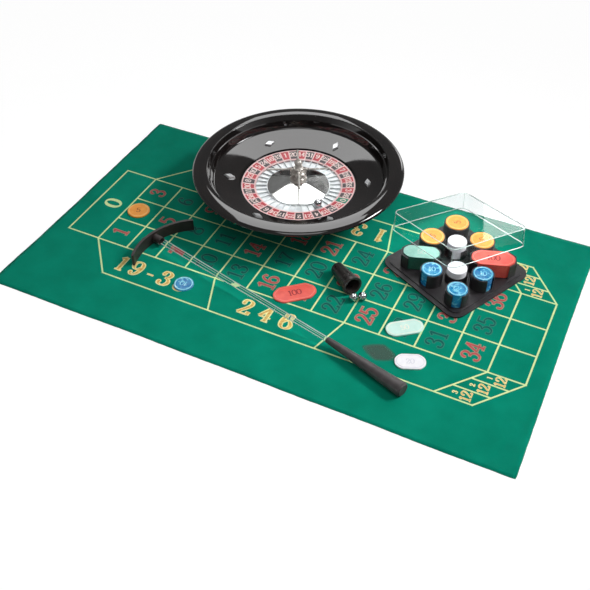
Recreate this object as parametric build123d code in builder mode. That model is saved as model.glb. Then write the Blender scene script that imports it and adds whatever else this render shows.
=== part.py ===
from build123d import *
import math
import os

os.makedirs("parts", exist_ok=True)

# A table roulette set laid out for play.  Millimetres, +Z up.
# The origin is the middle of the playing cloth's underside; +X runs along the cloth.

# ---- Clearances -------------------------------------------------------------------------
REST_GAP = 0.2          # between a loose piece and what it rests on
FIT_GAP = 0.05          # radial gap of pins, bushes and seats
CHIP_GAP = 0.05         # air between two stacked chips
WELL_CLEARANCE = 0.35   # between a chip and its guard

# ---- Playing cloth ----------------------------------------------------------------------
CLOTH_LENGTH = 600.0
CLOTH_WIDTH = 355.0
CLOTH_THICKNESS = 1.0
CLOTH_CORNER = 2.0

# ---- Wheel: heights are above the cloth, radii from the wheel's axis ----------------------
WHEEL_X = -58.0
WHEEL_Y = 105.5
WELL_FLOOR = 15.0
WELL_RADIUS = 72.5      # the recess that the rotor turns in
WELL_DEPTH = 10.0
DECK_WIDTH = 31.5
DECK_RISE = 9.8
TRACK_LEAN = 6.5        # how far the track wall leans out over its depth
TRACK_DEPTH = 17.1
STEP_LEAN = 2.6         # the track wall's small step, from the deck's edge
STEP_RISE = 10.0
STEP_WIDTH = 1.2
STEP_SLOPE = 0.15
RIM_WIDTH = 18.0
RIM_CREST = 4.5         # from the track wall's top out to the rim's crest
RIM_RISE = 0.2
RIM_ROLL = 14.5         # from the track wall's top out to where the rim rolls over
RIM_ROLL_DROP = 1.1     # below the crest
RIM_EDGE_DROP = 3.6     # from the crest down to the rim's outer edge
RIM_LIP = 1.5           # thickness of the rim's outer edge
RIM_THICKNESS = 5.3     # from the rim's crest down to its flat underside
BOWL_WALL = 1.8
TRACK_FILLET = 3.0
RIM_FILLET = 1.2
LIP_FILLET = 0.6

FOOT_INSET = 3.0        # foot's edge, inside the well's radius
FOOT_THICKNESS = 2.0
KNEE_OUTSET = 5.6       # the base's knee, outside and below the deck's edge
KNEE_DROP = 0.8
KNEE_FILLET = 4.0
BASE_TOP_INSET = 6.9    # the base's top edge, inside the rim's edge
BASE_WALL = 1.5
PAD_THICKNESS = 1.0
PAD_INSET = 3.5
PAD_WIDTH = 9.0

BOSS_RADIUS = 8.0
BOSS_DEPTH = 7.0        # how far the spindle boss reaches below the bowl's floor
POST_COUNT = 4
POST_CIRCLE_RADIUS = 50.0
POST_RADIUS = 4.0
SCREW_RADIUS = 1.4
SCREW_HEAD_RADIUS = 3.0
SCREW_LENGTH = 8.0

SPINDLE_RADIUS = 3.0
SPINDLE_PROUD = 0.9     # above the hub
WASHER_RADIUS = 7.0
WASHER_THICKNESS = 1.0
BUSH_RADIUS = 5.0

DEFLECTOR_COUNT = 6
DEFLECTOR_CIRCLE_RADIUS = 85.3
DEFLECTOR_ANGLE = 21.5
DEFLECTOR_LENGTH = 15.0
DEFLECTOR_WIDTH = 8.2
DEFLECTOR_HEIGHT = 2.2
DEFLECTOR_DRAFT = 16.0
DEFLECTOR_GAP = 0.12

# ---- Rotor ------------------------------------------------------------------------------
POCKET_COUNT = 37
ZERO_ANGLE = -5.0       # heading of the zero pocket
ROTOR_GAP = 0.8         # between the rotor and the well's wall
ROTOR_FLOOR = 1.5       # thickness of the rotor disc under the pockets
ROTOR_DROP = 1.6        # the rotor's rim lies this much below the deck's edge
ROTOR_RIM_WIDTH = 1.2
NUMBER_WIDTH = 19.0
NUMBER_DROP = 2.2       # the number ring falls this much towards the axis
NUMBER_THICKNESS = 1.4
HUB_RADIUS = 8.0
HUB_HEIGHT = 8.4
POCKET_LENGTH = 14.3
POCKET_BASE = 1.5
POCKET_WALL = 1.0
POCKET_WALL_HEIGHT = 1.5
FRET_THICKNESS = 0.8
FRET_HEIGHT = 1.9
BALL_RADIUS = 5.0
BALL_SEAT = 8.2         # the ball's centre, outside the pockets' inner radius
BALL_POCKET = -3        # pockets from the zero to the one that holds the ball
BALL_GAP = 0.25

RIDGE_COUNT = 6
RIDGE_ANGLE = -64.1
CONE_BAND = 3.0
CONE_CAP = 2.8          # solid top of the cone over its cavity
CONE_TOP_RADIUS = 9.0
CAVITY_GAP = 1.2        # between the hub and the cone
CONE_SHELL = 2.6
RIB_WIDTH = 1.6
RIB_PROUD = 0.7
RIB_SUNK = 1.2

TURRET_BASE_RADIUS = 10.4
TURRET_BASE_HEIGHT = 5.95
TURRET_FLANGE = 1.4     # straight edge of the turret's base
TURRET_WAIST_RADIUS = 7.0
TURRET_WAIST_RISE = 3.4
TURRET_NECK = 5.2
COLUMN_RADIUS = 8.6
COLUMN_HEIGHT = 6.55
TURRET_HUB_RADIUS = 6.4
TURRET_HUB_HEIGHT = 5.55
ARM_COUNT = 4
ARM_ANGLE = 27.3
ARM_REACH = 38.8
ARM_RADIUS = 1.2
ARM_SOCKET = 4.0        # how deep an arm goes into the hub
FINIAL_FOOT_RADIUS = 4.0
FINIAL_NECK = 2.8
FINIAL_NECK_HEIGHT = 2.8
FINIAL_RADIUS = 5.0
FINIAL_BEAD = 7.5       # height of the bead
FINIAL_TIP_RADIUS = 1.4
FINIAL_TIP_STEP = 0.6
FINIAL_TIP_HEIGHT = 2.95

# ---- Chip tray ----------------------------------------------------------------------------
TRAY_X = 160.3
TRAY_Y = 67.5
TRAY_HEADING = -26.5
TRAY_CORNER = 13.8
TRAY_THICKNESS = 4.0
TRAY_LEDGE = 5.6        # the step round the edge that takes the lid's rim
TRAY_LEDGE_DEPTH = 1.2
TRAY_SKIRT = 1.2        # chamfer under the edge
WELL_SPACING = 12.9     # between two orange stacks, edge to edge
TRAY_MARGIN = 20.9      # from the outer wells' middles to the tray's edge
WHITE_PITCH = 0.4       # share of the pitch that sets a white well off the tray's middle
PLAQUE_OUTSET = 0.4     # how much further out than the round wells the plaque stacks stand
GREEN_PLAQUE_SHIFT = -1.2
RED_PLAQUE_SHIFT = -0.8
GUARD_WALL = 1.2
GUARD_DROP = 1.0        # the top chip stands this much above its guard
WHITE_GUARD_DROP = 7.5  # the white stacks' guards are lower
GUARD_SLOT = 10.0
PLAQUE_GUARD_REACH = 6.5

CHIP_COUNT = 10
CHIP_THICKNESS = 1.8
CHIP_CHAMFER = 0.25
ORANGE_RADIUS = 13.5
BLUE_RADIUS = 11.4
WHITE_RADIUS = 11.0

# plaque sizes: length, width, corner cut along, corner cut across
RED_PLAQUE = (49.0, 24.5, 8.5, 7.5)
GREEN_PLAQUE = (41.5, 21.0, 6.5, 6.0)
WHITE_PLAQUE = (32.5, 20.5, 6.0, 6.0)
PLAQUE_ROUNDING = 8.0

# ---- Tray lid, off the tray and leaning on the plaque stacks -------------------------------
LID_X = 147.2
LID_Y = 107.7
LID_HEADING = -33.4
LID_TILT = 12.8
LID_TILT_HEADING = 111.5
LID_INSET = 8.6         # the lid's side is this much shorter than the tray's
LID_DRAFT = 1.6         # how much each side leans in over the lid's depth
LID_DEPTH = 22.4
LID_WALL = 1.2
LID_CORNER = 10.0

# ---- Rake -----------------------------------------------------------------------------------
RAKE_X = -174.3         # where the rod meets the blade's inner face
RAKE_Y = -43.8
RAKE_HEADING = -13.5
BLADE_RADIUS = 74.1
BLADE_THICKNESS = 3.0
BLADE_HEIGHT = 15.0
BLADE_HALF_ANGLE = 38.8
BLADE_YAW = -5.6        # turn of the blade's middle about its own centre
BLADE_TILT = -3.7       # turn of the whole blade about the rod's end
ROD_LENGTH = 258.0
ROD_HEAD_RADIUS = 3.7
ROD_NOSE_RADIUS = 2.7
ROD_TIP_RADIUS = 1.6
ROD_TIP_LENGTH = 2.4    # how deep the rod's tip goes into the blade
ROD_SHOULDER_GAP = 0.9  # between the blade's inner face and the rod's shoulder
COLLAR_RADIUS = 4.9
COLLAR_LENGTH = 11.0
HANDLE_KINK = -3.5
HANDLE_LENGTH = 99.0
HANDLE_NOSE_RADIUS = 3.3
HANDLE_END_RADIUS = 8.0
HANDLE_ROUNDING = 1.0
SPIGOT_RADIUS = 2.1
SPIGOT_LENGTH = 20.0
CAP_RADIUS = 7.0
CAP_THICKNESS = 1.6

# ---- Loose chips and plaques: x, y and heading ----------------------------------------------
ORANGE_CHIP_AT = (-224.2, -3.1)
BLUE_CHIP_AT = (-106.3, -91.4)
RED_PLAQUE_AT = (12.5, -49.7, 41.0)
GREEN_PLAQUE_AT = (141.9, -46.0, 38.0)
WHITE_PLAQUE_AT = (164.2, -88.8, 23.5)

# ---- Ball tube and spare balls ----------------------------------------------------------------
TUBE_X = 39.8           # middle of the closed end, in plan
TUBE_Y = 2.7
TUBE_HEADING = -38.5
TUBE_LENGTH = 39.2
TUBE_END_RADIUS = 7.5
TUBE_MOUTH_RADIUS = 10.4
TUBE_LIP_RADIUS = 11.2
TUBE_LIP_LENGTH = 3.6
TUBE_WALL = 1.5
TUBE_FLOOR = 2.0
TUBE_ROUNDING = 2.5
SPARE_BALLS_AT = [(75.3, -31.0), (84.1, -25.2)]


def heading(degrees):
    """Unit vector in the XY plane."""
    return Vector(math.cos(math.radians(degrees)), math.sin(math.radians(degrees)), 0)


def corner(sketch, x, y):
    """The sketch's vertex nearest to a local point."""
    return sketch.vertices().sort_by_distance((x, y))[0]


# ==== Playing cloth ==============================================================================
with BuildPart() as playing_cloth:
    with BuildSketch():
        RectangleRounded(CLOTH_LENGTH, CLOTH_WIDTH, CLOTH_CORNER)
    extrude(amount=CLOTH_THICKNESS)
playing_cloth.part.label = "playing_cloth"
export_step(playing_cloth.part, "parts/playing_cloth.step")

# ==== Wheel ======================================================================================
# Profiles of turned parts are drawn on WHEEL: local x is the radius, local y the height.
WHEEL = Plane(origin=(WHEEL_X, WHEEL_Y, CLOTH_THICKNESS), x_dir=(1, 0, 0), z_dir=(0, -1, 0))
WHEEL_AXIS = Axis((WHEEL_X, WHEEL_Y, 0), (0, 0, 1))


def wheel_level(height, angle=0.0):
    """Horizontal plane at a height above the cloth, centred on the wheel's axis."""
    origin = (WHEEL_X, WHEEL_Y, CLOTH_THICKNESS + height)
    return Plane(origin=origin, x_dir=heading(angle), z_dir=(0, 0, 1))


well_edge = WELL_FLOOR + WELL_DEPTH
deck_radius = WELL_RADIUS + DECK_WIDTH
deck_height = well_edge + DECK_RISE
track_radius = deck_radius + TRACK_LEAN
track_height = deck_height + TRACK_DEPTH
rim_radius = track_radius + RIM_WIDTH
rim_height = track_height + RIM_RISE
rim_edge_height = rim_height - RIM_EDGE_DROP
rim_underside = rim_height - RIM_THICKNESS
step_radius = deck_radius + STEP_LEAN
step_height = deck_height + STEP_RISE
floor_underside = WELL_FLOOR - BOWL_WALL
boss_bottom = floor_underside - BOSS_DEPTH
spindle_bottom = boss_bottom + BOWL_WALL
foot_radius = WELL_RADIUS - FOOT_INSET
plate_top = PAD_THICKNESS + FOOT_THICKNESS
post_bottom = plate_top + FIT_GAP
knee_radius = deck_radius + KNEE_OUTSET
knee_height = deck_height - KNEE_DROP
base_top_radius = rim_radius - BASE_TOP_INSET
base_top = rim_underside - FIT_GAP

# The bowl: rim, track wall, deck and rotor well in one moulding, with its boss and posts.
with BuildPart() as wheel_bowl:
    with BuildSketch(WHEEL) as bowl_profile:
        with BuildLine():
            crown = ThreePointArc(
                (track_radius, track_height),
                (track_radius + RIM_CREST, rim_height),
                (track_radius + RIM_ROLL, rim_height - RIM_ROLL_DROP),
            )
            TangentArc(crown @ 1, (rim_radius, rim_edge_height), tangent=crown % 1)
            Polyline(
                (rim_radius, rim_edge_height),
                (rim_radius, rim_edge_height - RIM_LIP),
                (base_top_radius + BASE_WALL, rim_underside),
                (track_radius + BOWL_WALL, rim_underside),
                (deck_radius + BOWL_WALL, deck_height - BOWL_WALL),
                (WELL_RADIUS + BOWL_WALL, well_edge - BOWL_WALL),
                (WELL_RADIUS + BOWL_WALL, floor_underside),
                (0, floor_underside),
                (0, WELL_FLOOR),
                (WELL_RADIUS, WELL_FLOOR),
                (WELL_RADIUS, well_edge),
                (deck_radius, deck_height),
                (step_radius, step_height),
                (step_radius + STEP_WIDTH, step_height + STEP_SLOPE),
                (track_radius, track_height),
            )
        make_face()
        fillet(corner(bowl_profile, deck_radius, deck_height), TRACK_FILLET)
        fillet(corner(bowl_profile, deck_radius + BOWL_WALL, deck_height - BOWL_WALL),
               TRACK_FILLET + BOWL_WALL)
        fillet(corner(bowl_profile, track_radius, track_height), RIM_FILLET)
        fillet(corner(bowl_profile, rim_radius, rim_edge_height), LIP_FILLET)
    revolve(axis=WHEEL_AXIS)
    with BuildSketch(wheel_level(boss_bottom)):
        Circle(BOSS_RADIUS)
    extrude(amount=BOSS_DEPTH)
    with BuildSketch(wheel_level(post_bottom)):
        with PolarLocations(POST_CIRCLE_RADIUS, POST_COUNT):
            Circle(POST_RADIUS)
    extrude(amount=floor_underside - post_bottom)
    with BuildSketch(wheel_level(spindle_bottom - FIT_GAP)):
        Circle(SPINDLE_RADIUS + FIT_GAP)
    extrude(amount=WELL_FLOOR - spindle_bottom + FIT_GAP, mode=Mode.SUBTRACT)
    with BuildSketch(wheel_level(post_bottom)):
        with PolarLocations(POST_CIRCLE_RADIUS, POST_COUNT):
            Circle(SCREW_RADIUS + FIT_GAP)
    extrude(amount=SCREW_LENGTH, mode=Mode.SUBTRACT)
wheel_bowl.part.label = "wheel_bowl"
export_step(wheel_bowl.part, "parts/wheel_bowl.step")

# The base: foot plate and outer shell that carries the rim.
shell_run = BASE_WALL * math.sqrt(2)
screw_head_depth = SCREW_HEAD_RADIUS - SCREW_RADIUS
with BuildPart() as wheel_base:
    with BuildSketch(WHEEL) as base_profile:
        with BuildLine():
            Polyline(
                (0, PAD_THICKNESS),
                (foot_radius, PAD_THICKNESS),
                (foot_radius, plate_top),
                (knee_radius, knee_height),
                (base_top_radius, base_top),
                (base_top_radius - shell_run, base_top),
                (knee_radius - BASE_WALL / 2, knee_height + BASE_WALL),
                (foot_radius - BASE_WALL / 2, plate_top + BASE_WALL),
                (foot_radius - 2 * BASE_WALL, plate_top),
                (0, plate_top),
                close=True,
            )
        make_face()
        fillet(corner(base_profile, knee_radius, knee_height), KNEE_FILLET)
    revolve(axis=WHEEL_AXIS)
    with BuildSketch(wheel_level(PAD_THICKNESS)):
        with PolarLocations(POST_CIRCLE_RADIUS, POST_COUNT):
            Circle(SCREW_HEAD_RADIUS + 2 * FIT_GAP)
    extrude(amount=screw_head_depth, taper=45, mode=Mode.SUBTRACT)
    with BuildSketch(wheel_level(PAD_THICKNESS)):
        with PolarLocations(POST_CIRCLE_RADIUS, POST_COUNT):
            Circle(SCREW_RADIUS + 2 * FIT_GAP)
    extrude(amount=FOOT_THICKNESS, mode=Mode.SUBTRACT)
wheel_base.part.label = "wheel_base"
export_step(wheel_base.part, "parts/wheel_base.step")

with BuildPart() as base_screws:
    with BuildSketch(wheel_level(PAD_THICKNESS)):
        with PolarLocations(POST_CIRCLE_RADIUS, POST_COUNT):
            Circle(SCREW_HEAD_RADIUS)
    extrude(amount=screw_head_depth, taper=45)
    with BuildSketch(wheel_level(PAD_THICKNESS + screw_head_depth)):
        with PolarLocations(POST_CIRCLE_RADIUS, POST_COUNT):
            Circle(SCREW_RADIUS)
    extrude(amount=SCREW_LENGTH - screw_head_depth)
base_screws.part.label = "base_screws"
export_step(base_screws.part, "parts/base_screws.step")

with BuildPart() as base_pad:
    with BuildSketch(wheel_level(0)):
        Circle(foot_radius - PAD_INSET)
        Circle(foot_radius - PAD_INSET - PAD_WIDTH, mode=Mode.SUBTRACT)
    extrude(amount=PAD_THICKNESS)
base_pad.part.label = "base_pad"
export_step(base_pad.part, "parts/base_pad.step")

rotor_bottom = WELL_FLOOR + WASHER_THICKNESS + 2 * FIT_GAP
rotor_floor = rotor_bottom + ROTOR_FLOOR
hub_top = rotor_floor + HUB_HEIGHT
with BuildPart() as spindle:
    with BuildSketch(wheel_level(spindle_bottom)):
        Circle(SPINDLE_RADIUS)
    extrude(amount=hub_top + SPINDLE_PROUD - spindle_bottom)
    chamfer(spindle.faces().sort_by(Axis.Z)[-1].edges(), SPINDLE_RADIUS / 4)
spindle.part.label = "spindle"
export_step(spindle.part, "parts/spindle.step")

with BuildPart() as thrust_washer:
    with BuildSketch(wheel_level(WELL_FLOOR)):
        Circle(WASHER_RADIUS)
        Circle(SPINDLE_RADIUS + 2 * FIT_GAP, mode=Mode.SUBTRACT)
    extrude(amount=WASHER_THICKNESS)
thrust_washer.part.label = "thrust_washer"
export_step(thrust_washer.part, "parts/thrust_washer.step")

# Six diamond deflectors on the deck, the first crosswise, then radial and crosswise in turn.
deck_slope = math.atan2(DECK_RISE, DECK_WIDTH)


def deck_plane(angle):
    """Plane on the deck's surface, local x up the slope."""
    rise = (DEFLECTOR_CIRCLE_RADIUS - WELL_RADIUS) * math.tan(deck_slope)
    out = heading(angle)
    up = Vector(0, 0, 1)
    origin = Vector(WHEEL_X, WHEEL_Y, CLOTH_THICKNESS + well_edge + rise)
    normal = up * math.cos(deck_slope) - out * math.sin(deck_slope)
    along = out * math.cos(deck_slope) + up * math.sin(deck_slope)
    return Plane(origin=origin + out * DEFLECTOR_CIRCLE_RADIUS + normal * DEFLECTOR_GAP,
                 x_dir=along, z_dir=normal)


with BuildPart() as deflectors:
    for number in range(DEFLECTOR_COUNT):
        crosswise = number % 2 == 0
        outward = DEFLECTOR_WIDTH if crosswise else DEFLECTOR_LENGTH
        sideways = DEFLECTOR_LENGTH if crosswise else DEFLECTOR_WIDTH
        angle = DEFLECTOR_ANGLE + number * 360 / DEFLECTOR_COUNT
        with BuildSketch(deck_plane(angle)):
            with BuildLine():
                Polyline(
                    (outward / 2, 0),
                    (0, sideways / 2),
                    (-outward / 2, 0),
                    (0, -sideways / 2),
                    close=True,
                )
            make_face()
        extrude(amount=DEFLECTOR_HEIGHT, taper=DEFLECTOR_DRAFT)
deflectors.part.label = "deflectors"
export_step(deflectors.part, "parts/deflectors.step")

# ==== Rotor ======================================================================================
rotor_radius = WELL_RADIUS - ROTOR_GAP
rotor_rim = well_edge - ROTOR_DROP
number_outer_radius = rotor_radius - ROTOR_RIM_WIDTH - FIT_GAP
number_inner_radius = rotor_radius - NUMBER_WIDTH
pocket_inner_radius = number_inner_radius - POCKET_LENGTH
seat_outer = rotor_rim - NUMBER_THICKNESS
seat_inner = seat_outer - NUMBER_DROP

with BuildPart() as rotor_disc:
    with BuildSketch(WHEEL) as disc_profile:
        with BuildLine():
            Polyline(
                (BUSH_RADIUS + FIT_GAP, rotor_bottom),
                (rotor_radius, rotor_bottom),
                (rotor_radius, rotor_rim),
                (rotor_radius - ROTOR_RIM_WIDTH, rotor_rim),
                (rotor_radius - ROTOR_RIM_WIDTH, seat_outer - FIT_GAP),
                (number_inner_radius, seat_inner - FIT_GAP),
                (number_inner_radius, rotor_floor),
                (HUB_RADIUS, rotor_floor),
                (HUB_RADIUS, hub_top),
                (BUSH_RADIUS + FIT_GAP, hub_top),
                close=True,
            )
        make_face()
    revolve(axis=WHEEL_AXIS)
rotor_disc.part.label = "rotor_disc"
export_step(rotor_disc.part, "parts/rotor_disc.step")

with BuildPart() as bearing_bush:
    with BuildSketch(wheel_level(WELL_FLOOR + WASHER_THICKNESS + FIT_GAP)):
        Circle(BUSH_RADIUS)
        Circle(SPINDLE_RADIUS + FIT_GAP, mode=Mode.SUBTRACT)
    extrude(amount=hub_top - WELL_FLOOR - WASHER_THICKNESS)
bearing_bush.part.label = "bearing_bush"
export_step(bearing_bush.part, "parts/bearing_bush.step")

with BuildPart() as number_ring:
    with BuildSketch(WHEEL):
        with BuildLine():
            Polyline(
                (number_inner_radius, seat_inner),
                (number_outer_radius, seat_outer),
                (number_outer_radius, seat_outer + NUMBER_THICKNESS),
                (number_inner_radius, seat_inner + NUMBER_THICKNESS),
                close=True,
            )
        make_face()
    revolve(axis=WHEEL_AXIS)
number_ring.part.label = "number_ring"
export_step(number_ring.part, "parts/number_ring.step")

pocket_pitch = 360 / POCKET_COUNT
pocket_seat = rotor_floor + FIT_GAP
pocket_floor = pocket_seat + POCKET_BASE
pocket_outer_radius = number_inner_radius - 2 * FIT_GAP
fret_inner_radius = pocket_inner_radius + POCKET_WALL
with BuildPart() as pocket_ring:
    with BuildSketch(wheel_level(pocket_seat)):
        Circle(pocket_outer_radius)
        Circle(pocket_inner_radius, mode=Mode.SUBTRACT)
    extrude(amount=POCKET_BASE)
    with BuildSketch(wheel_level(pocket_floor)):
        Circle(fret_inner_radius)
        Circle(pocket_inner_radius, mode=Mode.SUBTRACT)
    extrude(amount=POCKET_WALL_HEIGHT)
    with BuildSketch(wheel_level(pocket_floor)):
        with PolarLocations((fret_inner_radius + pocket_outer_radius) / 2, POCKET_COUNT,
                            start_angle=ZERO_ANGLE + pocket_pitch / 2):
            Rectangle(pocket_outer_radius - fret_inner_radius, FRET_THICKNESS)
        Circle(pocket_outer_radius, mode=Mode.INTERSECT)
    extrude(amount=FRET_HEIGHT)
pocket_ring.part.label = "pocket_ring"
export_step(pocket_ring.part, "parts/pocket_ring.step")

# Hollow six-sided cone with a rib on each ridge.
cone_radius = pocket_inner_radius - 2 * FIT_GAP
cone_shoulder = pocket_seat + CONE_BAND
cavity_top = hub_top + CAVITY_GAP
cone_top = cavity_top + CONE_CAP
ridge_stretch = 1 / math.cos(math.pi / RIDGE_COUNT)
cone_rise = (cone_top - cone_shoulder) / (cone_radius - CONE_TOP_RADIUS)
with BuildPart() as rotor_cone:
    with BuildSketch(wheel_level(pocket_seat)):
        Circle(cone_radius)
    extrude(amount=CONE_BAND)
    with BuildSketch(wheel_level(cone_shoulder, RIDGE_ANGLE)):
        RegularPolygon(cone_radius * ridge_stretch, RIDGE_COUNT)
    with BuildSketch(wheel_level(cone_top, RIDGE_ANGLE)):
        RegularPolygon(CONE_TOP_RADIUS * ridge_stretch, RIDGE_COUNT)
    loft()
    for number in range(RIDGE_COUNT):
        angle = RIDGE_ANGLE + number * 360 / RIDGE_COUNT
        side = heading(angle - 90)
        ridge_end = cone_radius
        ridge_end_height = cone_top - (ridge_end / ridge_stretch - CONE_TOP_RADIUS) * cone_rise
        origin = (WHEEL_X, WHEEL_Y, CLOTH_THICKNESS)
        with BuildSketch(Plane(origin=origin, x_dir=heading(angle), z_dir=side)):
            with BuildLine():
                Polyline(
                    (CONE_TOP_RADIUS, cone_top - RIB_SUNK),
                    (ridge_end, ridge_end_height - RIB_SUNK),
                    (ridge_end, ridge_end_height + RIB_PROUD),
                    (CONE_TOP_RADIUS * ridge_stretch, cone_top + RIB_PROUD / 2),
                    (CONE_TOP_RADIUS, cone_top),
                    close=True,
                )
            make_face()
        extrude(amount=RIB_WIDTH / 2, both=True)
    with BuildSketch(wheel_level(pocket_seat)):
        Circle(cone_radius)
    extrude(amount=cone_top - pocket_seat, mode=Mode.INTERSECT)
    with BuildSketch(wheel_level(pocket_seat)):
        Circle(cone_radius - CONE_SHELL)
    with BuildSketch(wheel_level(cavity_top)):
        Circle(HUB_RADIUS + FIT_GAP)
    loft(mode=Mode.SUBTRACT)
rotor_cone.part.label = "rotor_cone"
export_step(rotor_cone.part, "parts/rotor_cone.step")

turret_foot = cone_top + FIT_GAP
base_crown = turret_foot + TURRET_BASE_HEIGHT
flange_top = turret_foot + TURRET_FLANGE
with BuildPart() as turret_base:
    with BuildSketch(WHEEL):
        with BuildLine():
            Line((0, turret_foot), (TURRET_BASE_RADIUS, turret_foot))
            Line((TURRET_BASE_RADIUS, turret_foot), (TURRET_BASE_RADIUS, flange_top))
            ThreePointArc(
                (TURRET_BASE_RADIUS, flange_top),
                (TURRET_WAIST_RADIUS, turret_foot + TURRET_WAIST_RISE),
                (TURRET_NECK, base_crown),
            )
            Line((TURRET_NECK, base_crown), (0, base_crown))
            Line((0, base_crown), (0, turret_foot))
        make_face()
    revolve(axis=WHEEL_AXIS)
turret_base.part.label = "turret_base"
export_step(turret_base.part, "parts/turret_base.step")

column_foot = base_crown + FIT_GAP
column_top = column_foot + COLUMN_HEIGHT
with BuildPart() as turret_column:
    with BuildSketch(WHEEL):
        with BuildLine():
            Line((0, column_foot), (TURRET_NECK, column_foot))
            ThreePointArc(
                (TURRET_NECK, column_foot),
                (COLUMN_RADIUS, (column_foot + column_top) / 2),
                (TURRET_NECK, column_top),
            )
            Line((TURRET_NECK, column_top), (0, column_top))
            Line((0, column_top), (0, column_foot))
        make_face()
    revolve(axis=WHEEL_AXIS)
turret_column.part.label = "turret_column"
export_step(turret_column.part, "parts/turret_column.step")

hub_foot = column_top + FIT_GAP
turret_hub_top = hub_foot + TURRET_HUB_HEIGHT
arm_height = (hub_foot + turret_hub_top) / 2
with BuildPart() as turret_hub:
    with BuildSketch(wheel_level(hub_foot)):
        Circle(TURRET_HUB_RADIUS)
    extrude(amount=turret_hub_top - hub_foot)
    fillet(turret_hub.faces().filter_by(Axis.Z).edges(), RIM_FILLET)
    for number in range(ARM_COUNT):
        angle = ARM_ANGLE + number * 360 / ARM_COUNT
        seat = Vector(WHEEL_X, WHEEL_Y, CLOTH_THICKNESS + arm_height)
        seat += heading(angle) * (TURRET_HUB_RADIUS - ARM_SOCKET)
        with BuildSketch(Plane(origin=seat, x_dir=heading(angle + 90), z_dir=heading(angle))):
            Circle(ARM_RADIUS + FIT_GAP)
        extrude(amount=ARM_SOCKET, mode=Mode.SUBTRACT)
turret_hub.part.label = "turret_hub"
export_step(turret_hub.part, "parts/turret_hub.step")

with BuildPart() as turret_arms:
    for number in range(ARM_COUNT):
        angle = ARM_ANGLE + number * 360 / ARM_COUNT
        root = Vector(WHEEL_X, WHEEL_Y, CLOTH_THICKNESS + arm_height)
        root += heading(angle) * (TURRET_HUB_RADIUS - ARM_SOCKET + FIT_GAP)
        with BuildSketch(Plane(origin=root, x_dir=heading(angle + 90), z_dir=heading(angle))):
            Circle(ARM_RADIUS)
        extrude(amount=ARM_REACH - TURRET_HUB_RADIUS + ARM_SOCKET - FIT_GAP)
turret_arms.part.label = "turret_arms"
export_step(turret_arms.part, "parts/turret_arms.step")

finial_foot = turret_hub_top + FIT_GAP
bead_foot = finial_foot + FINIAL_NECK_HEIGHT
bead_top = bead_foot + FINIAL_BEAD
finial_top = bead_top + FINIAL_TIP_HEIGHT
with BuildPart() as turret_finial:
    with BuildSketch(WHEEL):
        with BuildLine():
            Line((0, finial_foot), (FINIAL_FOOT_RADIUS, finial_foot))
            Line((FINIAL_FOOT_RADIUS, finial_foot), (FINIAL_NECK, bead_foot))
            ThreePointArc(
                (FINIAL_NECK, bead_foot),
                (FINIAL_RADIUS, (bead_foot + bead_top) / 2),
                (FINIAL_NECK, bead_top),
            )
            Line((FINIAL_NECK, bead_top), (FINIAL_TIP_RADIUS, bead_top + FINIAL_TIP_STEP))
            Line((FINIAL_TIP_RADIUS, bead_top + FINIAL_TIP_STEP),
                 (FINIAL_TIP_RADIUS, finial_top - FINIAL_TIP_STEP))
            Line((FINIAL_TIP_RADIUS, finial_top - FINIAL_TIP_STEP), (0, finial_top))
            Line((0, finial_top), (0, finial_foot))
        make_face()
    revolve(axis=WHEEL_AXIS)
turret_finial.part.label = "turret_finial"
export_step(turret_finial.part, "parts/turret_finial.step")

# The wheel's ball lies between two frets, on their top edges.
fret_top = pocket_floor + FRET_HEIGHT
ball_circle_radius = pocket_inner_radius + BALL_SEAT
half_gap = math.pi * ball_circle_radius / POCKET_COUNT - FRET_THICKNESS / 2
ball_height = fret_top + math.sqrt((BALL_RADIUS + BALL_GAP) ** 2 - half_gap ** 2)
ball_angle = ZERO_ANGLE + BALL_POCKET * pocket_pitch
ball_centre = Vector(WHEEL_X, WHEEL_Y, CLOTH_THICKNESS + ball_height)
ball_centre += heading(ball_angle) * ball_circle_radius
with BuildPart() as wheel_ball:
    with Locations(ball_centre):
        Sphere(BALL_RADIUS)
wheel_ball.part.label = "wheel_ball"
export_step(wheel_ball.part, "parts/wheel_ball.step")

# ==== Chip tray ==================================================================================
well_pitch = 2 * ORANGE_RADIUS + WELL_SPACING
tray_side = 2 * (well_pitch + TRAY_MARGIN)
plaque_pitch = well_pitch + PLAQUE_OUTSET
TRAY = Plane(origin=(TRAY_X, TRAY_Y, CLOTH_THICKNESS), x_dir=heading(TRAY_HEADING), z_dir=(0, 0, 1))

with BuildPart() as chip_tray:
    with BuildSketch(TRAY):
        RectangleRounded(tray_side, tray_side, TRAY_CORNER)
    extrude(amount=TRAY_THICKNESS - TRAY_LEDGE_DEPTH)
    chamfer(chip_tray.faces().sort_by(Axis.Z)[0].edges(), TRAY_SKIRT)
    with BuildSketch(TRAY.offset(TRAY_THICKNESS - TRAY_LEDGE_DEPTH)):
        RectangleRounded(tray_side - 2 * TRAY_LEDGE, tray_side - 2 * TRAY_LEDGE,
                         TRAY_CORNER - TRAY_LEDGE)
    extrude(amount=TRAY_LEDGE_DEPTH)
chip_tray.part.label = "chip_tray"
export_step(chip_tray.part, "parts/chip_tray.step")

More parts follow.
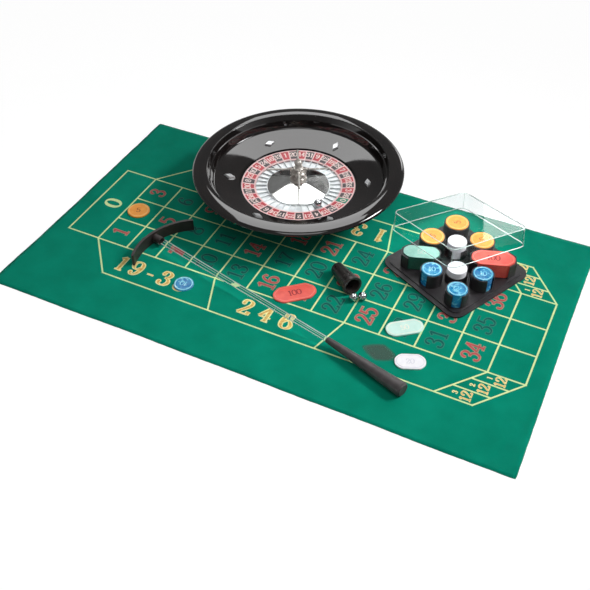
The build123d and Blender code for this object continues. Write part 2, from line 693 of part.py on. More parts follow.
# Round wells: name -> centre in the tray, chip radius, heading of the guard's slot in the tray,
# drop from the stack's top to the guard's.
white_step = well_pitch * WHITE_PITCH
round_wells = {
    "orange_stack_back": ((-well_pitch, well_pitch), ORANGE_RADIUS, 135, GUARD_DROP),
    "orange_stack_left": ((-well_pitch, 0), ORANGE_RADIUS, 180, GUARD_DROP),
    "orange_stack_right": ((0, well_pitch), ORANGE_RADIUS, 90, GUARD_DROP),
    "white_stack_back": ((-white_step, white_step), WHITE_RADIUS, -45, WHITE_GUARD_DROP),
    "white_stack_front": ((white_step, -white_step), WHITE_RADIUS, 135, WHITE_GUARD_DROP),
    "blue_stack_left": ((0, -well_pitch), BLUE_RADIUS, -90, GUARD_DROP),
    "blue_stack_right": ((well_pitch, 0), BLUE_RADIUS, 0, GUARD_DROP),
    "blue_stack_front": ((well_pitch, -well_pitch), BLUE_RADIUS, -45, GUARD_DROP),
}
stack_height = CHIP_COUNT * CHIP_THICKNESS + (CHIP_COUNT - 1) * CHIP_GAP
guard_height = stack_height - GUARD_DROP

with BuildPart() as round_guards:
    for centre, radius, slot_heading, drop in round_wells.values():
        with BuildSketch(TRAY.offset(TRAY_THICKNESS)):
            with Locations(Location((*centre, 0), (0, 0, slot_heading))):
                Circle(radius + WELL_CLEARANCE + GUARD_WALL)
                Circle(radius + WELL_CLEARANCE, mode=Mode.SUBTRACT)
                Rectangle(2 * radius, GUARD_SLOT, align=(Align.MIN, Align.CENTER), mode=Mode.SUBTRACT)
        extrude(amount=stack_height - drop)
round_guards.part.label = "round_guards"
export_step(round_guards.part, "parts/round_guards.step")

for name, (centre, radius, _, _) in round_wells.items():
    with BuildPart() as stack:
        for number in range(CHIP_COUNT):
            rise = TRAY_THICKNESS + number * (CHIP_THICKNESS + CHIP_GAP)
            with BuildSketch(TRAY.offset(rise)):
                with Locations(centre):
                    Circle(radius)
            extrude(amount=CHIP_THICKNESS)
        chamfer(stack.faces().filter_by(Axis.Z).edges(), CHIP_CHAMFER)
    stack.part.label = name
    export_step(stack.part, f"parts/{name}.step")


def plaque_corners(size, grow=0.0):
    """Corners of a long octagon, grown by a margin all round."""
    length, width, cut_along, cut_across = size
    end = length / 2 + grow
    side = width / 2 + grow
    return [
        (end, side - cut_across),
        (end - cut_along, side),
        (cut_along - end, side),
        (-end, side - cut_across),
        (-end, cut_across - side),
        (cut_along - end, -side),
        (end - cut_along, -side),
        (end, cut_across - side),
    ]


# The plaque stacks lie along the tray's left-right diagonal.
plaque_wells = {
    "green_plaque_stack": (-plaque_pitch, GREEN_PLAQUE_SHIFT, GREEN_PLAQUE),
    "red_plaque_stack": (plaque_pitch, RED_PLAQUE_SHIFT, RED_PLAQUE),
}
DIAGONAL = Plane(origin=(TRAY_X, TRAY_Y, CLOTH_THICKNESS + TRAY_THICKNESS),
                 x_dir=heading(TRAY_HEADING + 45), z_dir=(0, 0, 1))


def diagonal_plane(along, across, rise=0.0):
    """Plane on the tray's top, centred on a plaque well."""
    origin = DIAGONAL.from_local_coords(Vector(along, across, rise))
    return Plane(origin=origin, x_dir=DIAGONAL.x_dir, z_dir=DIAGONAL.z_dir)


with BuildPart() as plaque_guards:
    for along, across, size in plaque_wells.values():
        with BuildSketch(diagonal_plane(along, across)):
            Polygon(*plaque_corners(size, WELL_CLEARANCE + GUARD_WALL))
        extrude(amount=guard_height)
        with BuildSketch(diagonal_plane(along, across)):
            Polygon(*plaque_corners(size, WELL_CLEARANCE))
        extrude(amount=guard_height, mode=Mode.SUBTRACT)
        with BuildSketch(diagonal_plane(along, across)):
            Rectangle(size[0] - 2 * PLAQUE_GUARD_REACH, 2 * size[1])
        extrude(amount=guard_height, mode=Mode.SUBTRACT)
plaque_guards.part.label = "plaque_guards"
export_step(plaque_guards.part, "parts/plaque_guards.step")

for name, (along, across, size) in plaque_wells.items():
    with BuildPart() as stack:
        for number in range(CHIP_COUNT):
            rise = number * (CHIP_THICKNESS + CHIP_GAP)
            with BuildSketch(diagonal_plane(along, across, rise)) as outline:
                Polygon(*plaque_corners(size))
                fillet(outline.vertices(), PLAQUE_ROUNDING)
            extrude(amount=CHIP_THICKNESS)
        chamfer(stack.faces().filter_by(Axis.Z).edges(), CHIP_CHAMFER)
    stack.part.label = name
    export_step(stack.part, f"parts/{name}.step")

# ==== Tray lid ===================================================================================
# The rim's underside plane passes just over the plaque stack's far edge.
tilt_axis = Axis((0, 0, 0), heading(LID_TILT_HEADING + 90))
lid_normal = Vector(0, 0, 1).rotate(tilt_axis, LID_TILT)
lid_x_dir = heading(LID_HEADING).rotate(tilt_axis, LID_TILT)
plaque_top = CLOTH_THICKNESS + TRAY_THICKNESS + stack_height
contact = DIAGONAL.from_local_coords(Vector(-plaque_pitch, GREEN_PLAQUE[1] / 2, 0))
contact_run = (Vector(LID_X - contact.X, LID_Y - contact.Y, 0)).dot(heading(LID_TILT_HEADING))
lid_rim_height = plaque_top + REST_GAP - contact_run * math.tan(math.radians(LID_TILT))
lid_origin = Vector(LID_X, LID_Y, lid_rim_height + LID_DEPTH / math.cos(math.radians(LID_TILT)))
LID = Plane(origin=lid_origin, x_dir=lid_x_dir, z_dir=lid_normal)

lid_side = tray_side - LID_INSET
with BuildPart() as tray_lid:
    with BuildSketch(LID.offset(-LID_DEPTH)):
        RectangleRounded(lid_side, lid_side, LID_CORNER)
    with BuildSketch(LID):
        RectangleRounded(lid_side - 2 * LID_DRAFT, lid_side - 2 * LID_DRAFT, LID_CORNER - LID_DRAFT)
    loft()
    inner = lid_side - 2 * LID_WALL
    with BuildSketch(LID.offset(-LID_DEPTH)):
        RectangleRounded(inner, inner, LID_CORNER - LID_WALL)
    with BuildSketch(LID.offset(-LID_WALL)):
        RectangleRounded(inner - 2 * LID_DRAFT, inner - 2 * LID_DRAFT,
                         LID_CORNER - LID_WALL - LID_DRAFT)
    loft(mode=Mode.SUBTRACT)
tray_lid.part.label = "tray_lid"
export_step(tray_lid.part, "parts/tray_lid.step")

# ==== Rake =======================================================================================
rake_axis_height = CLOTH_THICKNESS + REST_GAP + HANDLE_END_RADIUS
rake_start = Vector(RAKE_X, RAKE_Y, rake_axis_height)
rake_way = heading(RAKE_HEADING)
handle_way = heading(RAKE_HEADING + HANDLE_KINK)


def lengthwise(start, way):
    """Plane for turned profiles: local x runs along the way, local y is the radius, upward."""
    return Plane(origin=start, x_dir=way, z_dir=way.cross(Vector(0, 0, 1)))


def crosswise(start, way):
    """Plane square to the way."""
    return Plane(origin=start, x_dir=Vector(0, 0, 1).cross(way), z_dir=way)


blade_inner_radius = BLADE_RADIUS - BLADE_THICKNESS
blade_centre = rake_start + heading(RAKE_HEADING + BLADE_TILT) * blade_inner_radius
blade_middle = RAKE_HEADING + 180 + BLADE_YAW
blade_bottom = CLOTH_THICKNESS + REST_GAP
with BuildPart() as rake_blade:
    blade_plane = Plane(origin=(blade_centre.X, blade_centre.Y, blade_bottom),
                        x_dir=heading(blade_middle), z_dir=(0, 0, 1))
    with BuildSketch(blade_plane):
        with BuildLine():
            inner_arc = CenterArc((0, 0), blade_inner_radius, -BLADE_HALF_ANGLE, 2 * BLADE_HALF_ANGLE)
            outer_arc = CenterArc((0, 0), BLADE_RADIUS, -BLADE_HALF_ANGLE, 2 * BLADE_HALF_ANGLE)
            Line(inner_arc @ 0, outer_arc @ 0)
            Line(inner_arc @ 1, outer_arc @ 1)
        make_face()
    extrude(amount=BLADE_HEIGHT)
    fillet(rake_blade.edges().filter_by(Axis.Z), BLADE_THICKNESS / 3)
    with BuildSketch(crosswise(rake_start - rake_way * BLADE_THICKNESS * 2, rake_way)):
        Circle(ROD_TIP_RADIUS + FIT_GAP)
    extrude(amount=BLADE_THICKNESS * 3, mode=Mode.SUBTRACT)
rake_blade.part.label = "rake_blade"
export_step(rake_blade.part, "parts/rake_blade.step")

rod_start = rake_start + rake_way * ROD_SHOULDER_GAP
with BuildPart() as rake_rod:
    with BuildSketch(lengthwise(rake_start, rake_way)):
        with BuildLine():
            Polyline(
                (-ROD_TIP_LENGTH, 0),
                (ROD_LENGTH, 0),
                (ROD_LENGTH, ROD_NOSE_RADIUS),
                (COLLAR_LENGTH, ROD_HEAD_RADIUS),
                (ROD_SHOULDER_GAP, ROD_HEAD_RADIUS),
                (ROD_SHOULDER_GAP, ROD_TIP_RADIUS),
                (-ROD_TIP_LENGTH, ROD_TIP_RADIUS),
                close=True,
            )
        make_face()
    revolve(axis=Axis(rake_start, rake_way))
    rod_end = rake_start + rake_way * ROD_LENGTH
    with BuildSketch(crosswise(rod_end - handle_way * SPIGOT_RADIUS, handle_way)):
        Circle(SPIGOT_RADIUS)
    extrude(amount=SPIGOT_LENGTH + SPIGOT_RADIUS)
rake_rod.part.label = "rake_rod"
export_step(rake_rod.part, "parts/rake_rod.step")

with BuildPart() as rod_collar:
    with BuildSketch(crosswise(rod_start, rake_way)):
        Circle(COLLAR_RADIUS)
        Circle(ROD_HEAD_RADIUS + FIT_GAP, mode=Mode.SUBTRACT)
    extrude(amount=COLLAR_LENGTH)
rod_collar.part.label = "rod_collar"
export_step(rod_collar.part, "parts/rod_collar.step")

handle_start = rod_end + handle_way * REST_GAP
with BuildPart() as rake_handle:
    with BuildSketch(lengthwise(handle_start, handle_way)) as handle_profile:
        with BuildLine():
            Polyline(
                (0, SPIGOT_RADIUS + FIT_GAP),
                (0, HANDLE_NOSE_RADIUS),
                (HANDLE_LENGTH, HANDLE_END_RADIUS),
                (HANDLE_LENGTH, 0),
                (SPIGOT_LENGTH, 0),
                (SPIGOT_LENGTH, SPIGOT_RADIUS + FIT_GAP),
                close=True,
            )
        make_face()
        fillet(corner(handle_profile, HANDLE_LENGTH, HANDLE_END_RADIUS), HANDLE_ROUNDING)
        fillet(corner(handle_profile, 0, HANDLE_NOSE_RADIUS), HANDLE_ROUNDING / 2)
    revolve(axis=Axis(handle_start, handle_way))
rake_handle.part.label = "rake_handle"
export_step(rake_handle.part, "parts/rake_handle.step")

cap_start = handle_start + handle_way * (HANDLE_LENGTH + FIT_GAP)
with BuildPart() as handle_cap:
    with BuildSketch(crosswise(cap_start, handle_way)):
        Circle(CAP_RADIUS)
    extrude(amount=CAP_THICKNESS)
    fillet(handle_cap.edges().group_by(SortBy.DISTANCE)[-1], CAP_THICKNESS / 3)
handle_cap.part.label = "handle_cap"
export_step(handle_cap.part, "parts/handle_cap.step")

# ==== Loose chips and plaques ====================================================================
for name, (x, y), radius in (
    ("orange_chip", ORANGE_CHIP_AT, ORANGE_RADIUS),
    ("blue_chip", BLUE_CHIP_AT, BLUE_RADIUS),
):
    with BuildPart() as chip:
        with BuildSketch(Plane.XY.offset(CLOTH_THICKNESS)):
            with Locations((x, y)):
                Circle(radius)
        extrude(amount=CHIP_THICKNESS)
        chamfer(chip.faces().filter_by(Axis.Z).edges(), CHIP_CHAMFER)
    chip.part.label = name
    export_step(chip.part, f"parts/{name}.step")

for name, (x, y, turn), size in (
    ("red_plaque", RED_PLAQUE_AT, RED_PLAQUE),
    ("green_plaque", GREEN_PLAQUE_AT, GREEN_PLAQUE),
    ("white_plaque", WHITE_PLAQUE_AT, WHITE_PLAQUE),
):
    with BuildPart() as plaque:
        place = Plane(origin=(x, y, CLOTH_THICKNESS), x_dir=heading(turn), z_dir=(0, 0, 1))
        with BuildSketch(place) as outline:
            Polygon(*plaque_corners(size))
            fillet(outline.vertices(), PLAQUE_ROUNDING)
        extrude(amount=CHIP_THICKNESS)
        chamfer(plaque.faces().filter_by(Axis.Z).edges(), CHIP_CHAMFER)
    plaque.part.label = name
    export_step(plaque.part, f"parts/{name}.step")

# ==== Ball tube ==================================================================================
# The tube widens to its mouth and lies on its side, on its closed end's edge and its lip.
tube_lift = math.atan2(TUBE_LIP_RADIUS - TUBE_END_RADIUS, TUBE_LENGTH - TUBE_LIP_LENGTH)
tube_way = heading(TUBE_HEADING) * math.cos(tube_lift) + Vector(0, 0, math.sin(tube_lift))
tube_start_height = CLOTH_THICKNESS + REST_GAP + TUBE_END_RADIUS * math.cos(tube_lift)
tube_start = Vector(TUBE_X, TUBE_Y, tube_start_height)
tube_cross = heading(TUBE_HEADING).cross(Vector(0, 0, 1))
with BuildPart() as ball_tube:
    with BuildSketch(Plane(origin=tube_start, x_dir=tube_way, z_dir=tube_cross)) as tube_profile:
        with BuildLine():
            Polyline(
                (0, 0),
                (0, TUBE_END_RADIUS),
                (TUBE_LENGTH - TUBE_LIP_LENGTH, TUBE_MOUTH_RADIUS),
                (TUBE_LENGTH - TUBE_LIP_LENGTH, TUBE_LIP_RADIUS),
                (TUBE_LENGTH, TUBE_LIP_RADIUS),
                (TUBE_LENGTH, TUBE_MOUTH_RADIUS - TUBE_WALL),
                (TUBE_FLOOR, TUBE_END_RADIUS - TUBE_WALL),
                (TUBE_FLOOR, 0),
                close=True,
            )
        make_face()
        fillet(corner(tube_profile, 0, TUBE_END_RADIUS), TUBE_ROUNDING)
    revolve(axis=Axis(tube_start, tube_way))
ball_tube.part.label = "ball_tube"
export_step(ball_tube.part, "parts/ball_tube.step")

with BuildPart() as spare_balls:
    for x, y in SPARE_BALLS_AT:
        with Locations((x, y, CLOTH_THICKNESS + REST_GAP / 2 + BALL_RADIUS)):
            Sphere(BALL_RADIUS)
spare_balls.part.label = "spare_balls"
export_step(spare_balls.part, "parts/spare_balls.step")
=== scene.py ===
import math
import random

import bpy
from mathutils import Matrix, Vector


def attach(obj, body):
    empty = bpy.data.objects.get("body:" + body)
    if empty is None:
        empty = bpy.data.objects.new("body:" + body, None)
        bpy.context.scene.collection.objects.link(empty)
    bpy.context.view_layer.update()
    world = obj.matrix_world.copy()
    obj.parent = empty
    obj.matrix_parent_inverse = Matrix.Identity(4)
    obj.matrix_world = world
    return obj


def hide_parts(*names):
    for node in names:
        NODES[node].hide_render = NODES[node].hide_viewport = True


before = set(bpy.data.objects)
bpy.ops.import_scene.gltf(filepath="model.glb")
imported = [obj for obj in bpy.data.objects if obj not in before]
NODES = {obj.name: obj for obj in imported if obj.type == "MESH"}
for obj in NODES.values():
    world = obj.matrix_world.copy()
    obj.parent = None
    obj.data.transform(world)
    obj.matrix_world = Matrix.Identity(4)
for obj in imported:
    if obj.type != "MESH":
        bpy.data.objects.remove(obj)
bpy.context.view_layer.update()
MM = 0.001
RANDOM = random.Random(7)

# ---- Places taken from the CAD part: millimetres, +Z up, heights from the floor ----------
CLOTH_TOP = 1.0
CLOTH_SIZE = (600.0, 355.0)
CELL_X = 40.0
CELL_Y = 42.16
ZERO_U = 6.0                     # the cloth's middle, counted in the layout's cells
ZERO_V = 1.58
WHEEL = (-58.0, 105.5)
POCKETS = 37
ZERO_ANGLE = -5.0
RING_INNER = (52.7, 22.2)        # the number ring's inner edge: radius and height
RING_OUTER = (70.45, 24.4)       # and its outer edge
TURRET_ANGLE = 27.3
ARM_HEIGHT = 45.425              # above the cloth
TRAY = (160.3, 67.5)
TRAY_HEADING = -26.5
DIAGONAL = TRAY_HEADING + 45     # the plaque wells lie along the tray's diagonal
WELL_PITCH = 39.9
PLAQUE_PITCH = 40.3
STACK_TOP = 23.45
LOOSE_TOP = 3.0                  # top of a chip or plaque that lies on the cloth
CHIP_RADII = {"orange": 13.5, "blue": 11.4, "white": 11.0}
LOOSE_CHIPS = {"orange": (-224.2, -3.1), "blue": (-106.3, -91.4)}
PLAQUES = {                      # length, width and the two legs of a corner's cut
    "red": (49.0, 24.5, 8.5, 7.5),
    "green": (41.5, 21.0, 6.5, 6.0),
    "white": (32.5, 20.5, 6.0, 6.0),
}
LOOSE_PLAQUES = {                # middle, height and heading
    "red": ((12.5, -49.7), LOOSE_TOP, 41.0),
    "green": ((141.9, -46.0), LOOSE_TOP, 38.0),
    "white": ((164.2, -88.8), LOOSE_TOP, 23.5),
}
LID_TOP = Vector((147.2, 107.7, 39.89))
LID_HEADING = -33.4
LID_TILT = 12.8
LID_TILT_HEADING = 111.5
LID_SIDE = 113.0
LID_DRAFT = 1.6
LID_DEPTH = 22.4
LID_CORNER = 10.0
ROD_START = (-174.3, -43.8, 9.2)
RAKE_HEADING = -13.5
ROD_LENGTH = 258.0
ROD_RADII = (3.7, 2.7)           # at its start by the blade and at its end
TUBE_START = (39.8, 2.7, 8.66)
TUBE_HEADING = -38.5
TUBE_RISE = 5.93
TUBE_RINGS = ((27.5, 9.62, 0.35), (31.0, 9.92, 0.35))    # along the tube, radius, thickness

# ---- What is printed ---------------------------------------------------------------------------
LIFT = 0.05                      # a print stands this much above what it is on
HAIR = 0.0004                    # and a stroke this much above the stroke under it
WHEEL_ORDER = (0, 32, 15, 19, 4, 21, 2, 25, 17, 34, 6, 27, 13, 36, 11, 30, 8, 23, 10, 5, 24, 16, 33, 1, 20,
               14, 31, 9, 22, 18, 29, 7, 28, 12, 35, 3, 26)
RED_NUMBERS = (1, 3, 5, 7, 9, 12, 14, 16, 18, 19, 21, 23, 25, 27, 30, 32, 34, 36)


# ---- Finishes ------------------------------------------------------------------------------
def colour(r, g, b):
    """A display colour, 0 to 255, as the linear colour that a shader takes."""
    knee, offset, gamma = 10.3, 0.055, 2.4
    return tuple(((c / 255 + offset) / (1 + offset)) ** gamma if c > knee else c / 255 / 12.92
                 for c in (r, g, b)) + (1.0,)


def finish(name, base, other, scale=60.0, stretch=(1, 1, 1), detail=4.0, contrast=(0.35, 0.65),
           rough=0.5, rough_spread=0.08, rough_scale=90.0, bump=0.15, bump_scale=900.0, bump_depth=0.02,
           metallic=0.0, spec=0.5, ior=1.5, sheen=0.0, clear=0.0, cover=1.0, specks=None):
    """A procedural finish: two display colours mixed by noise, an uneven roughness and a fine relief."""
    material = bpy.data.materials.new(name)
    material.use_nodes = True
    nodes, links = material.node_tree.nodes, material.node_tree.links
    shader = nodes["Principled BSDF"]
    place = nodes.new("ShaderNodeTexCoord").outputs["Object"]
    mapping = nodes.new("ShaderNodeMapping")
    mapping.inputs["Scale"].default_value = stretch
    links.new(place, mapping.inputs["Vector"])
    stretched = mapping.outputs["Vector"]

    def noise(size, depth, source):
        node = nodes.new("ShaderNodeTexNoise")
        node.inputs["Scale"].default_value = size
        node.inputs["Detail"].default_value = depth
        links.new(source, node.inputs["Vector"])
        return node.outputs["Fac"]

    def ranged(value, low, high, to_low, to_high):
        node = nodes.new("ShaderNodeMapRange")
        for socket, level in (("From Min", low), ("From Max", high), ("To Min", to_low), ("To Max", to_high)):
            node.inputs[socket].default_value = level
        links.new(value, node.inputs["Value"])
        return node.outputs["Result"]

    tones = nodes.new("ShaderNodeValToRGB")
    for element, position, tone in zip(tones.color_ramp.elements, contrast, (base, other)):
        element.position = position
        element.color = colour(*tone)
    links.new(noise(scale, detail, stretched), tones.inputs["Fac"])
    tinted = tones.outputs["Color"]
    if specks:  # fine fibres or wear over the two tones
        tint, size, threshold, strength = specks
        fade = 0.12
        mix = nodes.new("ShaderNodeMix")
        mix.data_type = "RGBA"
        sockets = {socket.identifier: socket for socket in (*mix.inputs, *mix.outputs)}
        sockets["B_Color"].default_value = colour(*tint)
        links.new(ranged(noise(size, 2.0, stretched), threshold, threshold + fade, 0.0, strength),
                  mix.inputs["Factor"])
        links.new(tinted, sockets["A_Color"])
        tinted = sockets["Result_Color"]
    links.new(tinted, shader.inputs["Base Color"])
    links.new(ranged(noise(rough_scale, 3.0, place), 0.3, 0.7, max(0.0, rough - rough_spread),
                     min(1.0, rough + rough_spread)), shader.inputs["Roughness"])
    relief = nodes.new("ShaderNodeBump")
    relief.inputs["Strength"].default_value = bump
    relief.inputs["Distance"].default_value = bump_depth * MM
    links.new(noise(bump_scale, 3.0, stretched), relief.inputs["Height"])
    links.new(relief.outputs["Normal"], shader.inputs["Normal"])
    for socket, value in (("Metallic", metallic), ("Specular IOR Level", spec), ("IOR", ior),
                          ("Sheen Weight", sheen), ("Transmission Weight", clear), ("Alpha", cover)):
        shader.inputs[socket].default_value = value
    return material


def ink(name, base, other, worn, threshold, strength, scale=300, rough=0.85, spec=0.15, cover=1.0):
    """A printed colour on the felt, worn through to its fibres."""
    return finish(name, base, other, scale=scale, rough=rough, bump=0.5, bump_scale=2600, bump_depth=0.08,
                  spec=spec, cover=cover, specks=(worn, 1900, threshold, strength))


def plastic(name, base, other, scale=180, rough=0.4, **rest):
    """A chip's or a plaque's plastic."""
    return finish(name, base, other, scale=scale, rough=rough, bump=0.2, **rest)


FELT = finish("felt_green", (0, 127, 102), (4, 142, 116), scale=28, detail=6, contrast=(0.3, 0.7),
              rough=0.95, rough_spread=0.04, bump=0.6, bump_scale=2600, bump_depth=0.12, spec=0.05,
              sheen=0.02, specks=((14, 154, 128), 1900, 0.56, 0.35))
PRINT_LINE = ink("print_line", (212, 238, 172), (202, 232, 168), (90, 180, 122), 0.6, 0.45, rough=0.8,
                 spec=0.2)
PRINT_GOLD = ink("print_gold", (240, 238, 178), (234, 228, 156), (120, 170, 100), 0.62, 0.5, rough=0.8,
                 spec=0.2)
PRINT_RED = ink("print_red", (196, 88, 92), (172, 82, 84), (110, 76, 72), 0.6, 0.6)
PRINT_PALE = ink("print_pale", (190, 146, 130), (158, 136, 114), (50, 132, 106), 0.5, 0.85)
PRINT_DARK = ink("print_dark", (14, 84, 82), (18, 96, 88), (10, 112, 90), 0.55, 0.7)
PRINT_EDGE = ink("print_edge", (54, 122, 110), (46, 128, 110), (14, 124, 98), 0.5, 0.9)
PRINT_SHADE = ink("print_shade", (92, 114, 104), (98, 108, 102), (20, 116, 92), 0.55, 0.7, scale=120,
                  cover=0.3)
PRINT_AMBER = ink("print_amber", (232, 202, 120), (206, 158, 82), (120, 150, 84), 0.62, 0.5, rough=0.8,
                  spec=0.2)
BOWL = finish("gloss_black", (21, 18, 18), (27, 23, 22), scale=40, rough=0.04, rough_spread=0.025,
              rough_scale=35, bump=0.03, bump_scale=260, spec=0.72)
BASE = finish("satin_black", (26, 25, 27), (34, 33, 35), scale=90, rough=0.3, rough_spread=0.07, bump=0.25,
              bump_scale=1400)
PAD = finish("pad_felt", (18, 20, 20), (34, 36, 36), scale=900, rough=0.95, bump=0.8, bump_scale=2400,
             bump_depth=0.15, spec=0.1, sheen=0.2)
STEEL = finish("turned_steel", (188, 190, 194), (160, 163, 168), scale=260, stretch=(1, 1, 12), rough=0.28,
               bump_scale=1800, bump_depth=0.01, metallic=1.0)
WASHER = finish("washer_white", (214, 212, 204), (198, 196, 188), scale=200)
CHROME = finish("chrome", (216, 211, 204), (196, 190, 182), scale=140, rough=0.22, rough_spread=0.06,
                bump=0.05, bump_scale=500, metallic=0.55, spec=1.0)
DIAMOND = finish("deflector_silver", (206, 207, 208), (188, 190, 192), scale=160, rough=0.3,
                 rough_spread=0.06, bump=0.08, bump_scale=700, metallic=0.45, spec=0.8)
ARM = finish("arm_silver", (188, 186, 180), (168, 166, 160), scale=160, rough=0.3, rough_spread=0.06,
             bump=0.08, bump_scale=700, metallic=0.4, spec=0.6)
BRASS = finish("brass", (196, 160, 92), (170, 132, 70), scale=220, rough=0.3, metallic=1.0)
ROTOR = finish("rotor_black", (24, 22, 23), (32, 29, 30), rough=0.16, rough_spread=0.05, bump=0.06,
               bump_scale=500)
LABEL = finish("label_pink_white", (240, 204, 203), (232, 188, 188), scale=160, rough=0.4, bump=0.1)
LABEL_RED = finish("label_red", (202, 56, 66), (186, 46, 58), scale=160, rough=0.38, bump=0.1)
LABEL_BLACK = finish("label_black", (52, 40, 42), (70, 52, 54), scale=160, rough=0.38, bump=0.1)
LABEL_GREEN = finish("label_green", (20, 140, 104), (16, 122, 90), scale=160, rough=0.38, bump=0.1)
LABEL_WHITE = finish("label_white", (246, 226, 220), (238, 214, 208), scale=200, rough=0.4, bump=0.1)
SILVER = finish("pocket_silver", (226, 230, 231), (206, 211, 213), scale=180, rough=0.42, rough_spread=0.1,
                bump=0.2, metallic=0.55, spec=0.8)
CONE = finish("cone_silver", (220, 221, 220), (206, 207, 205), scale=70, rough=0.13, rough_spread=0.05,
              bump=0.05, bump_scale=300, metallic=1.0)
BALL = finish("ball_steel", (206, 208, 210), (186, 188, 192), scale=400, rough=0.08, rough_spread=0.04,
              bump=0.03, metallic=1.0)
TRAY_BLACK = finish("tray_black", (34, 31, 34), (44, 41, 44), scale=120, rough=0.42, bump=0.4,
                    bump_scale=1500, bump_depth=0.03)
ORANGE = plastic("chip_orange", (246, 166, 58), (240, 152, 46), rough=0.38, bump_scale=1200,
                 specks=((250, 190, 110), 700, 0.66, 0.5))
ORANGE_PALE = plastic("chip_orange_pale", (250, 190, 104), (247, 180, 92))
ORANGE_DARK = plastic("chip_orange_dark", (186, 92, 20), (170, 80, 16))
WHITE = plastic("chip_white", (247, 246, 250), (241, 240, 246), rough=0.38, bump_scale=1200)
WHITE_DARK = plastic("chip_white_mark", (228, 228, 236), (220, 220, 230))
BLUE = plastic("chip_blue", (26, 150, 204), (10, 114, 178), scale=70, contrast=(0.4, 0.6), rough=0.3,
               bump_scale=1200, specks=((124, 214, 234), 240, 0.54, 0.8))
BLUE_PALE = plastic("chip_blue_pale", (150, 224, 236), (92, 194, 222), rough=0.36,
                    specks=((214, 240, 250), 300, 0.56, 0.7))
GREEN = plastic("plaque_green", (14, 96, 76), (10, 84, 66), scale=120, bump_scale=1200)
GREEN_TOP = plastic("plaque_green_top", (154, 206, 192), (134, 192, 176), scale=150, bump_scale=1200)
MINT = plastic("plaque_mint", (206, 240, 230), (196, 234, 222), scale=120, bump_scale=1200)
MINT_MARK = plastic("plaque_mint_mark", (240, 246, 232), (236, 240, 222), scale=200, rough=0.45)
GREY_MARK = plastic("plaque_grey_mark", (176, 206, 194), (186, 200, 190), scale=200, rough=0.45)
RED = plastic("plaque_red", (244, 100, 84), (234, 86, 76), scale=120, rough=0.38, bump_scale=1200)
RED_PALE = plastic("plaque_red_pale", (246, 136, 120), (242, 122, 108), scale=200, rough=0.42)
RED_DARK = plastic("plaque_red_mark", (176, 42, 44), (160, 36, 38), scale=200, rough=0.45)
LID_CLEAR = finish("lid_clear", (254, 255, 255), (250, 254, 254), scale=30, rough=0.03, rough_spread=0.02,
                   bump=0.03, bump_scale=120, clear=1.0, ior=1.18)
# painted highlight: the pale colour of the strands drawn along the lid's edges
LID_HIGHLIGHT_PAINT = finish("painted_lid_highlight", (218, 244, 238), (238, 250, 246), scale=90, contrast=(0.3, 0.7), rough=0.2,
                  bump=0.1, cover=0.7)
ROD_CLEAR = finish("rod_clear", (244, 248, 248), (236, 242, 242), scale=30, rough=0.05, rough_spread=0.03,
                   bump=0.03, bump_scale=120, clear=1.0, ior=1.1)
# painted highlight: the pale colour of the strands drawn inside the clear rod
ROD_HIGHLIGHT_PAINT = finish("painted_rod_highlight", (206, 222, 216), (178, 198, 192), scale=120, contrast=(0.3, 0.7), rough=0.25,
                  bump=0.1, cover=0.75)
RAKE_BLACK = finish("rake_black", (42, 34, 34), (52, 44, 44), scale=140, rough=0.4, bump=0.4,
                    bump_scale=1300, bump_depth=0.03)
HANDLE = finish("handle_black", (66, 62, 63), (76, 71, 72), scale=140, rough=0.46, bump=0.4,
                bump_scale=1300, bump_depth=0.03)
TUBE_BLACK = finish("tube_black", (42, 39, 38), (52, 48, 46), scale=140, rough=0.32, bump=0.3,
                    bump_scale=1300)

DRESS = {
    "wheel_bowl": BOWL, "wheel_base": BASE, "base_pad": PAD, "base_screws": STEEL, "spindle": STEEL,
    "thrust_washer": WASHER, "deflectors": DIAMOND, "rotor_disc": ROTOR, "bearing_bush": BRASS,
    "number_ring": LABEL, "pocket_ring": SILVER, "rotor_cone": CONE, "turret_base": CHROME,
    "turret_column": CHROME, "turret_hub": CHROME, "turret_arms": ARM, "turret_finial": CHROME,
    "wheel_ball": BALL, "spare_balls": BALL, "chip_tray": TRAY_BLACK, "round_guards": TRAY_BLACK,
    "plaque_guards": TRAY_BLACK, "orange_stack_back": ORANGE, "orange_stack_left": ORANGE,
    "orange_stack_right": ORANGE, "white_stack_back": WHITE, "white_stack_front": WHITE,
    "blue_stack_left": BLUE, "blue_stack_right": BLUE, "blue_stack_front": BLUE,
    "green_plaque_stack": GREEN, "red_plaque_stack": RED, "tray_lid": LID_CLEAR, "rake_blade": RAKE_BLACK,
    "rake_rod": ROD_CLEAR, "rod_collar": RAKE_BLACK, "rake_handle": HANDLE, "handle_cap": HANDLE,
    "orange_chip": ORANGE, "blue_chip": BLUE, "red_plaque": RED, "green_plaque": MINT,
    "white_plaque": WHITE, "ball_tube": TUBE_BLACK,
}
for clear_node in ("tray_lid", "rake_rod"):   # light falls through the clear parts
    NODES[clear_node].visible_shadow = False
for node, material in DRESS.items():
    for place in NODES[node].material_slots:
        place.link = "OBJECT"
        place.material = material


